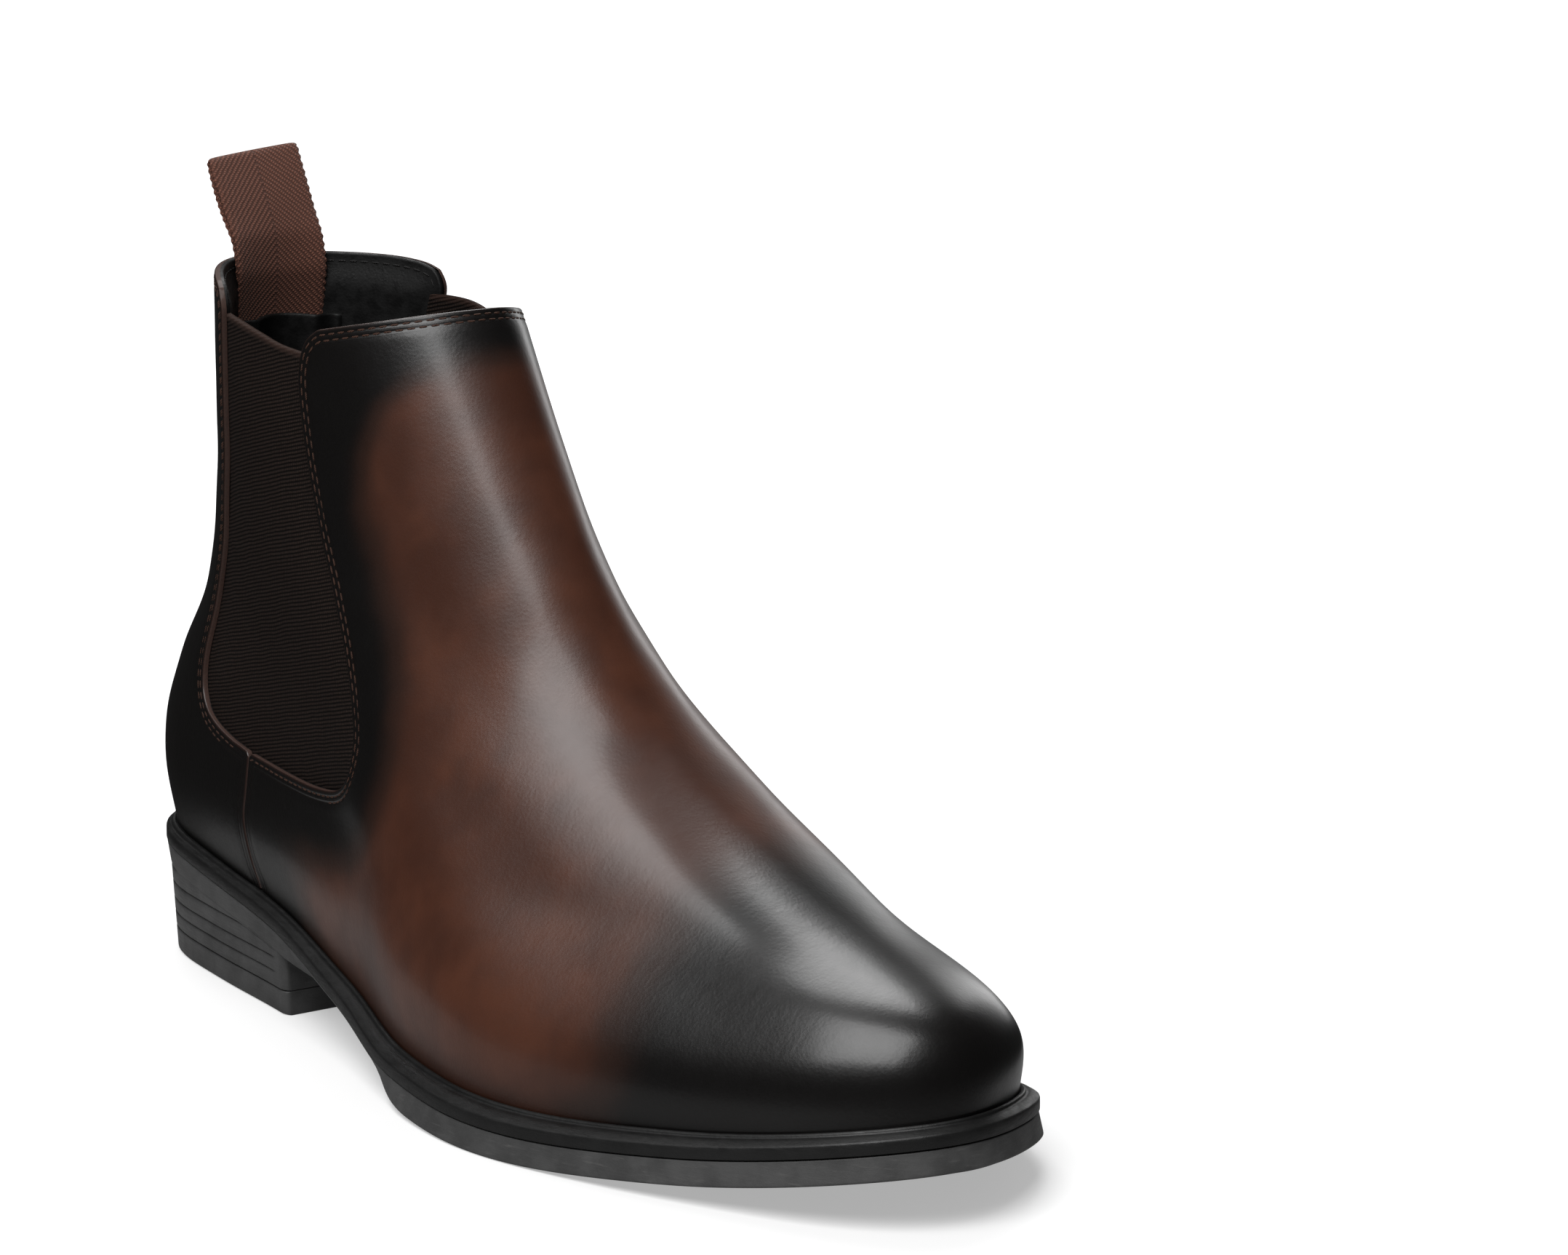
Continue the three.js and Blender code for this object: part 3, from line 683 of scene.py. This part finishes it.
def webbing_paint():
    m = Paint(
        "herringbone_tape", Roughness=0.85, Specular_IOR_Level=0.25, Sheen_Weight=0.08, Sheen_Roughness=0.5,
    )
    along, across = m.value("along"), m.value("across")
    side = m.math("ABSOLUTE", across)
    turn = m.math("ADD", along, side)
    rib = m.span(m.math("SINE", m.math("MULTIPLY", turn, 2 * math.pi / 1.5)), -1.0, 1.0)
    cell_a = m.math("SINE", m.math("MULTIPLY", m.math("SUBTRACT", along, side), 2 * math.pi / 0.9))
    dot = m.math("MULTIPLY", rib, m.span(cell_a, -1, 0.8, 0.3, 1.0))
    fuzz = m.noise(0.35, 3, 0.7)
    shade = m.math("MULTIPLY", dot, m.span(fuzz, 0.25, 0.75, 0.6, 1.2))
    colour = m.mix(shade, (0.050, 0.0185, 0.0115), (0.150, 0.058, 0.037))
    spine = m.groove(across, 0.0, 0.5)
    colour = m.mix(m.math("MULTIPLY", spine, 0.4), colour, (0.03, 0.012, 0.009))
    m.set("Base Color", colour)
    m.bump(m.total((dot, 0.2), (fuzz, 0.08)), 1.0, 1.0)
    return m.material


def rubber_paint(name, dark, light, rough, grain=0.7):
    """Moulded rubber: fine texture, faint buffing marks along the sole, dust on the high spots."""
    m = Paint(name, Roughness=rough, Specular_IOR_Level=0.4)
    brushed = m.noise(1.2, 4, 0.6, m.turned(stretch=(0.25, 0.25, 2.6)))
    colour = m.mix(m.span(m.noise(8, 4), 0.3, 0.7), (dark,) * 3, (light,) * 3)
    colour = m.mix(m.span(brushed, 0.55, 0.8, 0, 0.4), colour, (light * 1.9, light * 1.85, light * 1.8))
    m.set("Base Color", colour)
    m.set("Roughness", m.math("ADD", m.span(brushed, 0.2, 0.8, -0.08, 0.08), rough))
    pits = m.cells(1.1, "SMOOTH_F1")
    m.bump(m.total((m.noise(0.4, 3), 0.05 * grain), (brushed, 0.06 * grain), (pits, 0.03)), 1.0, 1.0)
    return m.material


def board_paint(name, dark, light, size, rough=0.85):
    m = Paint(name, Roughness=rough)
    colour = m.mix(m.span(m.noise(size, 5, 0.65), 0.35, 0.65), dark, light)
    colour = m.mix(m.span(m.cells(size * 0.6), 0.0, 0.25, 0.5, 0), colour, tuple(0.45 * c for c in dark))
    m.set("Base Color", colour)
    m.set("Roughness", m.span(m.noise(size * 2, 3), 0.3, 0.7, rough - 0.12, rough + 0.08))
    m.bump(m.total((m.noise(size * 0.5, 4), 0.15), (m.cells(size), 0.08)), 1.0, 1.0)
    return m.material


def steel_paint():
    m = Paint("drawn_steel", Metallic=1.0, Roughness=0.35)
    lines = m.noise(0.5, 4, 0.6, m.turned(stretch=(3, 0.12, 3)))
    m.set("Base Color", m.mix(lines, (0.36, 0.37, 0.39), (0.55, 0.56, 0.58)))
    m.set("Roughness", m.span(lines, 0.3, 0.7, 0.28, 0.5))
    m.bump(lines, 0.04, 0.8)
    return m.material


def thread_paint(name, dark, light):
    m = Paint(name, Roughness=0.65, Specular_IOR_Level=0.2)
    slant = m.total((m.place_axis(1), 1.0), (m.place_axis(2), 1.0))
    twist = m.math("SINE", m.math("MULTIPLY", slant, 2 * math.pi / 0.5))
    m.set("Base Color", m.mix(m.span(twist, -1, 1), dark, light))
    m.bump(m.math("MULTIPLY", twist, 0.04), 1.0, 0.8)
    return m.material


calf = leather_paint()
elastic = gore_paint()
black_lining = lining_paint("black_lining")
sock_leather = lining_paint("sock_leather", 1.5)
tape = webbing_paint()
sole_rubber = rubber_paint("sole_rubber", 0.028, 0.044, 0.6)
welt_rubber = rubber_paint("welt_rubber", 0.003, 0.005, 0.5, 0.8)
heel_rubber = rubber_paint("heel_rubber", 0.024, 0.038, 0.5)
brown_thread = thread_paint("brown_thread", (0.014, 0.0062, 0.004), (0.052, 0.023, 0.014))
black_thread = thread_paint("black_thread", (0.005, 0.005, 0.005), (0.018, 0.017, 0.017))
resin_fabric = board_paint("resin_fabric", (0.42, 0.36, 0.26), (0.60, 0.54, 0.42), 1.2)
leather_board = board_paint("leather_board", (0.17, 0.09, 0.045), (0.33, 0.20, 0.11), 2.2)


def repaint(node, material):
    """A material for a CAD node that stays as it is."""
    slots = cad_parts[node].data.materials
    slots.clear()
    slots.append(material)


repaint("insole_board", board_paint("fibre_board", (0.33, 0.24, 0.14), (0.52, 0.42, 0.28), 3.0))
repaint("forepart_filler", board_paint("ground_cork", (0.20, 0.11, 0.05), (0.46, 0.30, 0.16), 1.6))
steel = steel_paint()
for steel_node in ["shank", *(f"heel_nail_{i}" for i in range(1, 6))]:
    repaint(steel_node, steel)

# ---------- leather upper
LEVELS = np.linspace(0, 1, 250)
AROUND = np.linspace(-math.pi, math.pi, 561)[:-1]


def leather_depth(t, a, d):
    """Pressed in along the stitched border, a touch of life elsewhere."""
    press = 0.14 * ease(d, 4.4, 2.9)
    life = 0.10 * np.sin(31 * t + 3 * a) * np.sin(9 * a - 17 * t) * ease(t, 0.1, 0.3) * ease(t, 0.9, 0.7)
    return press + life


def front_burnish(t, a, p, d):
    y, z = p[:, 1], p[:, 2]
    gore = ease(line_distance(front_line, y, z), 31, 1)
    toe = ease(y - 0.1 * p[:, 0], -52, -100)
    seam = ease(line_distance(seam_line, y, z), 44, 2)
    top = ease(line_distance(front_top, y, z), 23, 2) * 0.9
    corner = ease(np.hypot((y - 47) / 26, (z - 168) / 40), 1.2, 0.3)
    foot = ease(z - rim_at(y), 13, 2) * 0.35
    light = (1 - gore) * (1 - toe) * (1 - seam) * (1 - top) * (1 - corner) * (1 - foot)
    return 1 - light


def full_burnish(t, a, p, d):
    return np.full(len(p), 0.86)


VALUES = ("edge", "burnish", "cut")
front_cut = Cut(front_outline(0), LEVELS, AROUND)
front = Build(*VALUES)
sheet_piece(front, front_cut, leather_depth, LEATHER, burnish=front_burnish)
front.finish("upper_front", "boot", "leather_burnished", calf, ["front_upper"])

back_cut = Cut(back_outline(0), LEVELS, AROUND)
back = Build(*VALUES)
sheet_piece(back, back_cut, leather_depth, LEATHER, burnish=full_burnish)
back.finish("upper_back_quarter", "boot", "leather_burnished", calf, ["back_quarter"])

threads = Build()
above_seam = lambda p: (p[:, 2] > 58.5) & (p[:, 1] > 4)
stitches_inside(threads, front_cut, (1.4, 2.8), 0.13, above_seam)
stitches_inside(threads, back_cut, (1.4, 2.8), 0.13, lambda p: p[:, 2] > 60.5)
threads.finish("upper_stitching", "boot", "leather_burnished", brown_thread)


# ---------- lining
def lining_depth(t, a, d):
    """Follows the leather at its top edge, then lies a counter's thickness further in."""
    return lerp(2.5, LINING_DEPTH, ease(d, 0.3, 9))


LINING_LEVELS = np.linspace(0, 1, 150)
LINING_AROUND = np.linspace(-math.pi, math.pi, 321)[:-1]
for name, outline, node in (
    ("lining_front_sheet", front_outline(0.0), "lining_front"),
    ("lining_back_sheet", back_outline(0.0), "lining_back"),
):
    cut = Cut(outline, LINING_LEVELS, LINING_AROUND, depth=1.2)
    piece = Build("edge", "cut")
    sheet_piece(piece, cut, lining_depth, 1.15, inward=True)
    piece.finish(name, "boot", "lining_leather", black_lining, [node], flip=True)
    if node == "lining_back":
        collar = Build()
        near_top = lambda p: p[:, 2] > 168
        stitches_inside(collar, cut, (2.0, 3.6), 2.75, near_top, inward=True, length=2.0, width=0.5)
        collar.finish("collar_stitching", "boot", "lining_leather", black_thread)

# ---------- stiffeners under the leather
STIFFENER_DEPTH = 1.75
PUFF = [(-200, 0), (-200, 90), (-98, 90), (-104, 0)]
COUNTER = [
    (98, 0), (98, 53.8), (108, 55.8), (117.5, 60), (124, 69),
    (124.5, 80), (136, 85), (170, 86), (170, 0),
]
for name, outline, node, slot, paint in (
    ("toe_puff_shell", PUFF, "toe_puff", "stiffener", resin_fabric),
    ("heel_counter_shell", COUNTER, "heel_counter", "leather_board", leather_board),
):
    piece = Build("edge", "cut")
    cut = Cut(outline, LINING_LEVELS, LINING_AROUND, depth=STIFFENER_DEPTH)
    sheet_piece(piece, cut, level_depth(STIFFENER_DEPTH), 0.95)
    piece.finish(name, "boot", slot, paint, [node])


# ---------- elastic gores
def roll(t, a, p, d):
    top = line_distance(GORE_TOP, p[:, 1], p[:, 2])
    return ease(top, 2.2, 0.4)


def gore_depth(t, a, d):
    p = last_point(t, a)
    top = line_distance(GORE_TOP, p[:, 1], p[:, 2])
    belly = 0.5 * ease(d, 5, 18)
    return GORE_DEPTH - 0.35 * ease(top, 2.0, 0.3) - belly


for name, node, low, high in (
    ("gore_outer_web", "gore_outer", 0.35, 2.1),
    ("gore_inner_web", "gore_inner", -2.1, -0.35),
):
    cut = Cut(gore_outline(5), np.linspace(0.13, 0.95, 200), np.linspace(low, high, 200), False)
    web = Build("edge", "roll", "cut")
    sheet_piece(web, cut, gore_depth, 1.2, roll=roll)
    web.finish(name, "boot", "gore_elastic", elastic, [node])
    inside = Build("edge", "roll", "cut")
    sheet_piece(inside, cut, level_depth(GORE_BACK), 0.2, inward=True, roll=roll)
    inside.finish(name + "_back", "boot", "gore_elastic", elastic, flip=True)

# ---------- sole unit
ROUNDS = np.linspace(-math.pi, math.pi, 481)[:-1]


def sole_loops(profile):
    """Rows of points round the sole: each profile entry gives inset and height above the rim."""
    rows = []
    for inset, height in profile:
        inset = np.broadcast_to(inset, ROUNDS.shape)
        p = edge(ROUNDS, inset)
        rows.append(np.concatenate([p, (rim_at(p[:, 1]) + height)[:, None]], 1))
    return np.array(rows)


def across_sole(inset, height, rows=200, cols=24, start=0.0, end=math.pi):
    """Grid right across the sole at an inset and height."""
    a = np.linspace(start, end, rows)
    inset = inset(a) if callable(inset) else np.full(rows, float(inset))
    left, right = edge(a, inset), edge(-a, inset)
    v = (1 - np.cos(np.linspace(0, math.pi, cols))) / 2
    p = left[:, None] + (right - left)[:, None] * v[None, :, None]
    z = rim_at(p[..., 1]) + (height(p[..., 1]) if callable(height) else height)
    return np.concatenate([p, z[..., None]], -1)


meet = feather_at(ROUNDS)
welt_top = lambda inset: WELT_TOP * ease(inset, -0.4, 2.8)
profile = [(6, -WELT_THICK), (0.5, -WELT_THICK), (0.12, -3.04), (0.0, -2.85), (0.0, -1.4), (0.02, -0.5)]
profile += [(0.14, -0.16), (0.4, 0.06), (0.8, welt_top(0.8) * 0.8)]
for share in (0.2, 0.45, 0.7, 1.0):
    inset = lerp(0.8, meet - 1.55, share)
    profile.append((inset, welt_top(inset)))
for turn in np.linspace(0, math.pi, 9)[1:]:
    inset = meet - 0.85 - 0.7 * math.cos(turn)
    bead = 0.75 * math.sin(turn) + 0.15 * turn / math.pi
    profile.append((inset, welt_top(meet - 1.55) + bead))
profile.append((meet + 1.0, WELT_TOP + 0.3))
welt = Build()
welt.grid(sole_loops(profile), looped=True)
welt.finish("welt_strip", "boot", "welt_rubber", welt_rubber, ["welt"])


def heel_inset(z):
    """The heel tapers towards the floor."""
    return 2.6 - 1.6 * z / HEEL_HEIGHT


def slant_at(a):
    """Inset of the outsole's lower edge: flush with the heel stack behind its breast."""
    u = HALF - plan(a)[:, 1]
    return lerp(heel_inset(rim(u) - wall(u)) - 0.1, bevel(u), ease(u, HEEL_LENGTH + 0.5, HEEL_LENGTH + 9))


length = HALF - plan(ROUNDS)[:, 1]
depth_here, slant = wall(length), slant_at(ROUNDS)
crisp = ease(length, HEEL_LENGTH + 0.5, HEEL_LENGTH + 4)
side = [(5, -3.35), (0.6, -3.35), (0.34, -3.4), (0.22, -3.55)]
for share in (0.0, 0.15, 0.4, 0.7, 0.88):
    side.append((lerp(0.2, slant, share), lerp(-3.7, -depth_here, share)))
for share, pull in ((0.95, 0.05), (1.0, 0.3), (1.0, 0.75)):
    lift = (0.12 if pull < 0.7 else 0.0) * crisp
    side.append((lerp(0.2, slant, share) + pull * crisp, lerp(-3.7, -depth_here, share) + lift))
outsole = Build()
outsole.grid(sole_loops(side)[::-1], looped=True)
under = across_sole(
    lambda a: slant_at(a) + 0.75 * ease(HALF - plan(a)[:, 1], HEEL_LENGTH + 0.5, HEEL_LENGTH + 4),
    lambda y: -wall(HALF - y),
)
outsole.grid(under)
outsole.finish("outsole_unit", "boot", "sole_rubber", sole_rubber, ["outsole"], flip=True)

BREAST = math.acos(1 - 2 * HEEL_LENGTH / SOLE_LENGTH)
GROOVES = (10.0, 13.6, 17.8, 21.8)     # heights of their middles
# One groove's section: height from its middle, and how deep it is there.
GROOVE = [(-0.42, 0.0), (-0.24, 0.12), (-0.1, 0.5), (0.1, 0.5), (0.24, 0.12), (0.42, 0.0)]


def heel_outline(inset, round_off=3.0):
    """Plan of the heel at one height: round the back, eased corners, straight breast."""
    a = np.linspace(-BREAST, BREAST, 241)
    full = edge(a, 0.0)
    corners = np.minimum(*(np.linalg.norm(full - full[i], axis=1) for i in (0, -1)))
    p = edge(a[corners > round_off], inset)
    first, final = edge(np.array([-BREAST, BREAST]), inset)
    line = unit(final - first)
    inner_a, inner_b = first + line * round_off, final - line * round_off
    w = np.linspace(0, 1, 9)[1:-1, None]
    bend = lambda s, c, e: (1 - w) ** 2 * s + 2 * w * (1 - w) * c + w * w * e
    breast = lerp(inner_b[None], inner_a[None], np.linspace(0, 1, 50)[:, None])
    return np.concatenate([p, bend(p[-1], final, inner_b), breast, bend(inner_a, first, p[0])])


def heel_rows(levels, seat):
    """Outlines at each level (height, extra inset); a seat follows the sole above it."""
    rows = []
    for k, (z, extra) in enumerate(levels):
        base = heel_outline(heel_inset(z) + extra)
        height = np.full(len(base), z)
        if seat:
            ceiling = rim_at(base[:, 1]) - wall(HALF - base[:, 1]) - 0.02
            height = np.minimum(height, ceiling - 0.04 * (len(levels) - 1 - k))
            low, high = (heel_outline(heel_inset(h) + extra) for h in (0, HEEL_HEIGHT))
            base = lerp(low, high, height[:, None] / HEEL_HEIGHT)
        base[:, 1] = np.maximum(base[:, 1], HALF - HEEL_LENGTH + max(0.0, extra - 0.6))
        rows.append(np.concatenate([base, height[:, None]], 1))
    return np.array(rows)


def grooved(low, high):
    out = [(low, 4.0), (low, 0.5), (low + 0.1, 0.2), (low + 0.35, 0.02)]
    for z in GROOVES:
        out.append((z - 1.3, 0.0))
        out += [(z + away, cut) for away, cut in GROOVE]
    return out + [(high, 0.0), (high + 0.1, 5.0)]


def soften_grooves(rows, levels):
    """The grooves run out before the breast corners and where the block meets the sole."""
    plain = heel_rows([(z, 0.0) for z, _ in levels], True)
    y = rows[..., 1]
    run_out = ease(y, HALF - HEEL_LENGTH + 3.5, HALF - HEEL_LENGTH + 8)
    room = ease(rim_at(y) - wall(HALF - y) - rows[..., 2], 0.25, 1.0)
    keep = np.minimum(run_out, room)
    keep[:4] = keep[-1:] = 1
    return lerp(plain, rows, keep[..., None])


levels = grooved(TOP_PIECE + 0.2, 26.0)
block = Build()
block.grid(soften_grooves(heel_rows(levels, True), levels), looped=True)
block.finish("heel_stack", "boot", "heel_rubber", heel_rubber, ["heel_block"])

lift = Build()
levels = [
    (0.0, 1.1), (0.02, 0.7), (0.18, 0.3), (0.5, 0.06), (0.9, 0.0),
    (3.0, 0.0), (5.5, 0.0), (5.85, 0.1), (5.98, 0.35), (TOP_PIECE, 4.0),
]
rows = heel_rows(levels, False)
lift.grid(rows, looped=True)
ground = rows[0]
middle = np.array([[0.0, 108.0, 0.0]])
ring = np.arange(1, len(ground) + 1)
fan = np.stack([np.zeros(len(ground)), np.roll(ring, -1), ring], -1)
lift.add(np.concatenate([middle, ground]), fan)
lift.finish("heel_lift", "boot", "heel_rubber", heel_rubber, ["heel_top_piece"])

sock = Build()
sheet = across_sole(lambda a: feather_at(a) + 4.9, WELT_TOP + 5.0, 200, 40, 0.05, 3.08)
width = np.linspace(-1, 1, 40)
sheet[..., 2] += 1.6 * np.abs(width[None, :]) ** 4
sock.grid(sheet)
sock.finish("sock_pad", "boot", "sock_leather", sock_leather, ["sock_liner"])

# ---------- pull loop
TAIL_MIDDLE = 6.7               # the tape's tail, below the leather's face
TAIL_LOW, TAIL_HIGH = 146, 173  # heights of the tail's two ends
LOOP_RISE = 23.2                # from the fold line to where the tape turns over
PLY = 0.62                      # half the distance between the two plies


def level_of(z):
    """The level t at which the back of the boot reaches height z."""
    t = 0.5
    for _ in range(40):
        t += (z - float(last_point(np.array(t), np.array(0.0))[2])) * 0.004
    return min(max(t, 0.0), 1.0)


HINGE = last(np.array(level_of(COLLAR_TOP)), np.array(0.0), TAIL_MIDDLE)
HINGE[2] = COLLAR_TOP + 2.2
UP = np.array([0, math.sin(LOOP_LEAN), math.cos(LOOP_LEAN)])
BACK = np.array([0, math.cos(LOOP_LEAN), -math.sin(LOOP_LEAN)])


def inside_collar(heights, offset):
    """Side view of the tape's tail at some heights, offset from its middle."""
    levels = [np.array(level_of(z)) for z in heights]
    return [last(t, np.array(0.0), TAIL_MIDDLE + offset)[1:] for t in levels]


def tape_path():
    """Side view of the tape's middle: up inside the collar, over the fold, and back down."""
    heights = np.linspace(TAIL_LOW, TAIL_HIGH, 28)
    outline = inside_collar(heights, PLY)
    over = HINGE[1:]
    rise = np.linspace(3, LOOP_RISE, 22)[:, None]
    bow = 0.66 + 0.5 * np.sin(math.pi * rise / 24)
    turn = np.linspace(0.3, math.pi - 0.3, 9)[:, None]
    stem = over + UP[1:] * rise - BACK[1:] * bow
    nose = over + UP[1:] * (LOOP_RISE + 1.5 * np.sin(turn)) - BACK[1:] * 0.75 * np.cos(turn)
    rear = (over + UP[1:] * rise + BACK[1:] * bow)[::-1]
    down = inside_collar(heights[::-1], -PLY)
    path = np.concatenate([outline, stem, nose, rear, down])
    step = np.concatenate([[0], np.cumsum(np.linalg.norm(np.diff(path, axis=0), axis=1))])
    s = np.linspace(0, step[-1], 260)
    path = np.stack([np.interp(s, step, path[:, k]) for k in (0, 1)], -1)
    kernel = np.exp(-0.5 * (np.arange(-6, 7) / 2.2) ** 2)
    kernel /= kernel.sum()
    for k in (0, 1):
        path[6:-6, k] = np.convolve(path[:, k], kernel, "valid")
    return path, s


path, run = tape_path()
tangent = unit(np.gradient(path, axis=0))
normal = np.stack([-tangent[:, 1], tangent[:, 0]], -1)
loop = Build("along", "across")
across = np.linspace(-1, 1, 41)
half = LOOP_WIDTH / 2
for face in (1, -1):
    rows = []
    for k in range(len(run)):
        curve = ease(path[k, 1], COLLAR_TOP + 12, COLLAR_TOP - 3)
        scallop = 0.18 * math.cos(2 * math.pi * run[k] / 1.9)
        x = across * (half + scallop)
        sag = -(x / half) ** 2 * (0.7 + 2.3 * curve)
        rounding = np.sqrt(np.clip(1 - np.abs(across) ** 14, 0, 1))
        y = path[k, 0] + sag + face * normal[k, 0] * WEBBING / 2 * rounding * 0.95
        z = path[k, 1] + face * normal[k, 1] * WEBBING / 2 * rounding * 0.95
        free = ease(path[k, 1], COLLAR_TOP + 2, COLLAR_TOP + 24)
        z = z + 0.11 * x * free
        x = x - 1.2 * free
        rows.append(np.stack([x, y, z], -1))
    rows = np.array(rows)
    faces = grid_faces(*rows.shape[:2])[:, ::face]
    sideways = np.tile(across * half, len(run))
    loop.add(rows, faces, along=np.repeat(run, len(across)), across=sideways)
webbing = loop.finish("pull_loop_tape", None, "webbing", tape, ["pull_loop", "loop_anchor"])
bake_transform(webbing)

COVER_LOW, COVER_TOP = 0.64, level_of(162)      # levels of the cover's two ends
COVER_HALF = 0.62                               # half its width, as an angle round the foot
patch = Build()
u, v = np.meshgrid(np.linspace(0, 1, 60), np.linspace(-1, 1, 90), indexing="ij")
t, a = lerp(COVER_LOW, COVER_TOP, u), COVER_HALF * v
raised = ease(np.abs(v), 0.95, 0.76) * ease(u, 0, 0.18)
depth = lerp(LINING_DEPTH + 0.9, 9.3, raised)
border = np.minimum(ease(1 - np.abs(v), 0, 0.02), ease(u, 0, 0.02))
depth = lerp(LINING_DEPTH - 0.1, depth, border)
under_rim = depth[-1:] - np.array([[0.1], [0.5], [0.9], [1.4]])
top_rows = last(np.tile(t[-1:], (4, 1)), np.tile(a[-1:], (4, 1)), under_rim)
sheet = np.concatenate([last(t, a, depth), top_rows])
sheet[-4:, :, 2] += np.array([0.35, 0.5, 0.35, -0.3])[:, None]
patch.grid(sheet)
patch.finish("loop_cover", "boot", "lining_leather", black_lining, ["loop_patch"], flip=True)

# ---------- floor, light, camera
WHITE = (1, 1, 1, 1)
FLOOR = 9.0             # metres from the boot to the floor's near edge


def stage_object(name, points, faces, paint):
    mesh = bpy.data.meshes.new(name)
    mesh.from_pydata(points, [], faces)
    mesh.materials.append(paint.material)
    made = bpy.data.objects.new(name, mesh)
    bpy.context.scene.collection.objects.link(made)
    return made


# The floor shines a little, more with distance, so that it goes over into the white of the photograph.
white = Paint("studio_white", Base_Color=(0.45, 0.45, 0.45, 1), Roughness=0.9, Emission_Color=WHITE)
reach = white.node("ShaderNodeVectorMath", {"Vector": white.place}, operation="LENGTH").outputs["Value"]
glow = {"Value": reach, "From Min": 200, "From Max": 1600, "To Min": 0.4, "To Max": 1.0}
white.set("Emission Strength", white.node("ShaderNodeMapRange", glow).outputs[0])
corners = [(-FLOOR, -FLOOR, 0), (FLOOR, -FLOOR, 0), (FLOOR, 1.6 * FLOOR, 0), (-FLOOR, 1.6 * FLOOR, 0)]
floor = stage_object("studio_floor", corners, [(0, 1, 2, 3)], white)
floor.visible_glossy = False

# A small sheet of paper round the boot, seen only in its reflections.
grey = Paint("studio_paper", Base_Color=(0.2, 0.2, 0.2, 1))
angles = np.linspace(0, 2 * math.pi, 65)[:-1]
oval = [(0.13 * math.cos(w), 0.225 * math.sin(w), 0.0003) for w in angles]
sheet = stage_object("paper_sheet", oval, [tuple(range(len(oval)))], grey)
sheet.visible_camera = sheet.visible_diffuse = sheet.visible_shadow = False

# A white backdrop all round, so that low views see no horizon. It gives no light and no reflection.
bright = Paint("studio_backdrop", Base_Color=(0, 0, 0, 1), Emission_Color=WHITE, Emission_Strength=1.0)
bpy.ops.mesh.primitive_uv_sphere_add(segments=64, ring_count=32, radius=8.5)
backdrop = bpy.context.object
backdrop.name = "studio_backdrop"
backdrop.data.materials.append(bright.material)
backdrop.visible_diffuse = backdrop.visible_glossy = backdrop.visible_shadow = False
backdrop.visible_transmission = backdrop.visible_volume_scatter = False

# The sky is dim in reflections, so that the leather stays dark between the soft boxes.
world = bpy.data.worlds.new("studio")
world.use_nodes = True
sky = world.node_tree.nodes["Background"]
sky.inputs["Color"].default_value = WHITE
path_kind = world.node_tree.nodes.new("ShaderNodeLightPath")
level = world.node_tree.nodes.new("ShaderNodeMapRange")
level.inputs["To Min"].default_value = 0.22
level.inputs["To Max"].default_value = 0.02
world.node_tree.links.new(path_kind.outputs["Is Glossy Ray"], level.inputs["Value"])
world.node_tree.links.new(level.outputs[0], sky.inputs["Strength"])
bpy.context.scene.world = world
bpy.context.scene.view_settings.view_transform = "Standard"


def softbox(name, place, aim, size, power):
    data = bpy.data.lights.new(name, "AREA")
    data.shape = "RECTANGLE"
    data.size, data.size_y = size
    data.energy = power
    lamp = bpy.data.objects.new(name, data)
    lamp.location = place
    lamp.rotation_euler = (Vector(aim) - Vector(place)).to_track_quat("-Z", "Y").to_euler()
    bpy.context.scene.collection.objects.link(lamp)


softbox("key_softbox", (-0.8, -0.36, 1.48), (-0.03, 0, 0.08), (1.35, 1.35), 42)
softbox("back_softbox", (0.42, 0.7, 1.2), (0, -0.12, 0.05), (0.85, 0.75), 13)
softbox("rim_strip", (1.5, 0.9, 0.35), (0, 0, 0.12), (0.3, 0.8), 2)

AZIMUTH, ELEVATION, ROLL = math.radians(-37.29), math.radians(11.66), math.radians(0.55)
right = Vector((math.cos(AZIMUTH), math.sin(AZIMUTH), 0))
level_part = math.cos(ELEVATION)
away = Vector((
    math.sin(AZIMUTH) * level_part, -math.cos(AZIMUTH) * level_part, math.sin(ELEVATION),
))
up = away.cross(right)
right, up = right * math.cos(ROLL) + up * math.sin(ROLL), up * math.cos(ROLL) - right * math.sin(ROLL)
eye = bpy.data.cameras.new("camera")
eye.lens, eye.sensor_width, eye.clip_end = 115.34, 36.0, 60
camera = bpy.data.objects.new("camera", eye)
target = Vector((0.06615, 0.0, 0.09518)) + Vector(tuple(SHIFT / 1000))
turn = Matrix((right, up, away)).transposed().to_4x4()
camera.matrix_world = Matrix.Translation(target + away * 1.1912) @ turn
bpy.context.scene.collection.objects.link(camera)
bpy.context.scene.camera = camera
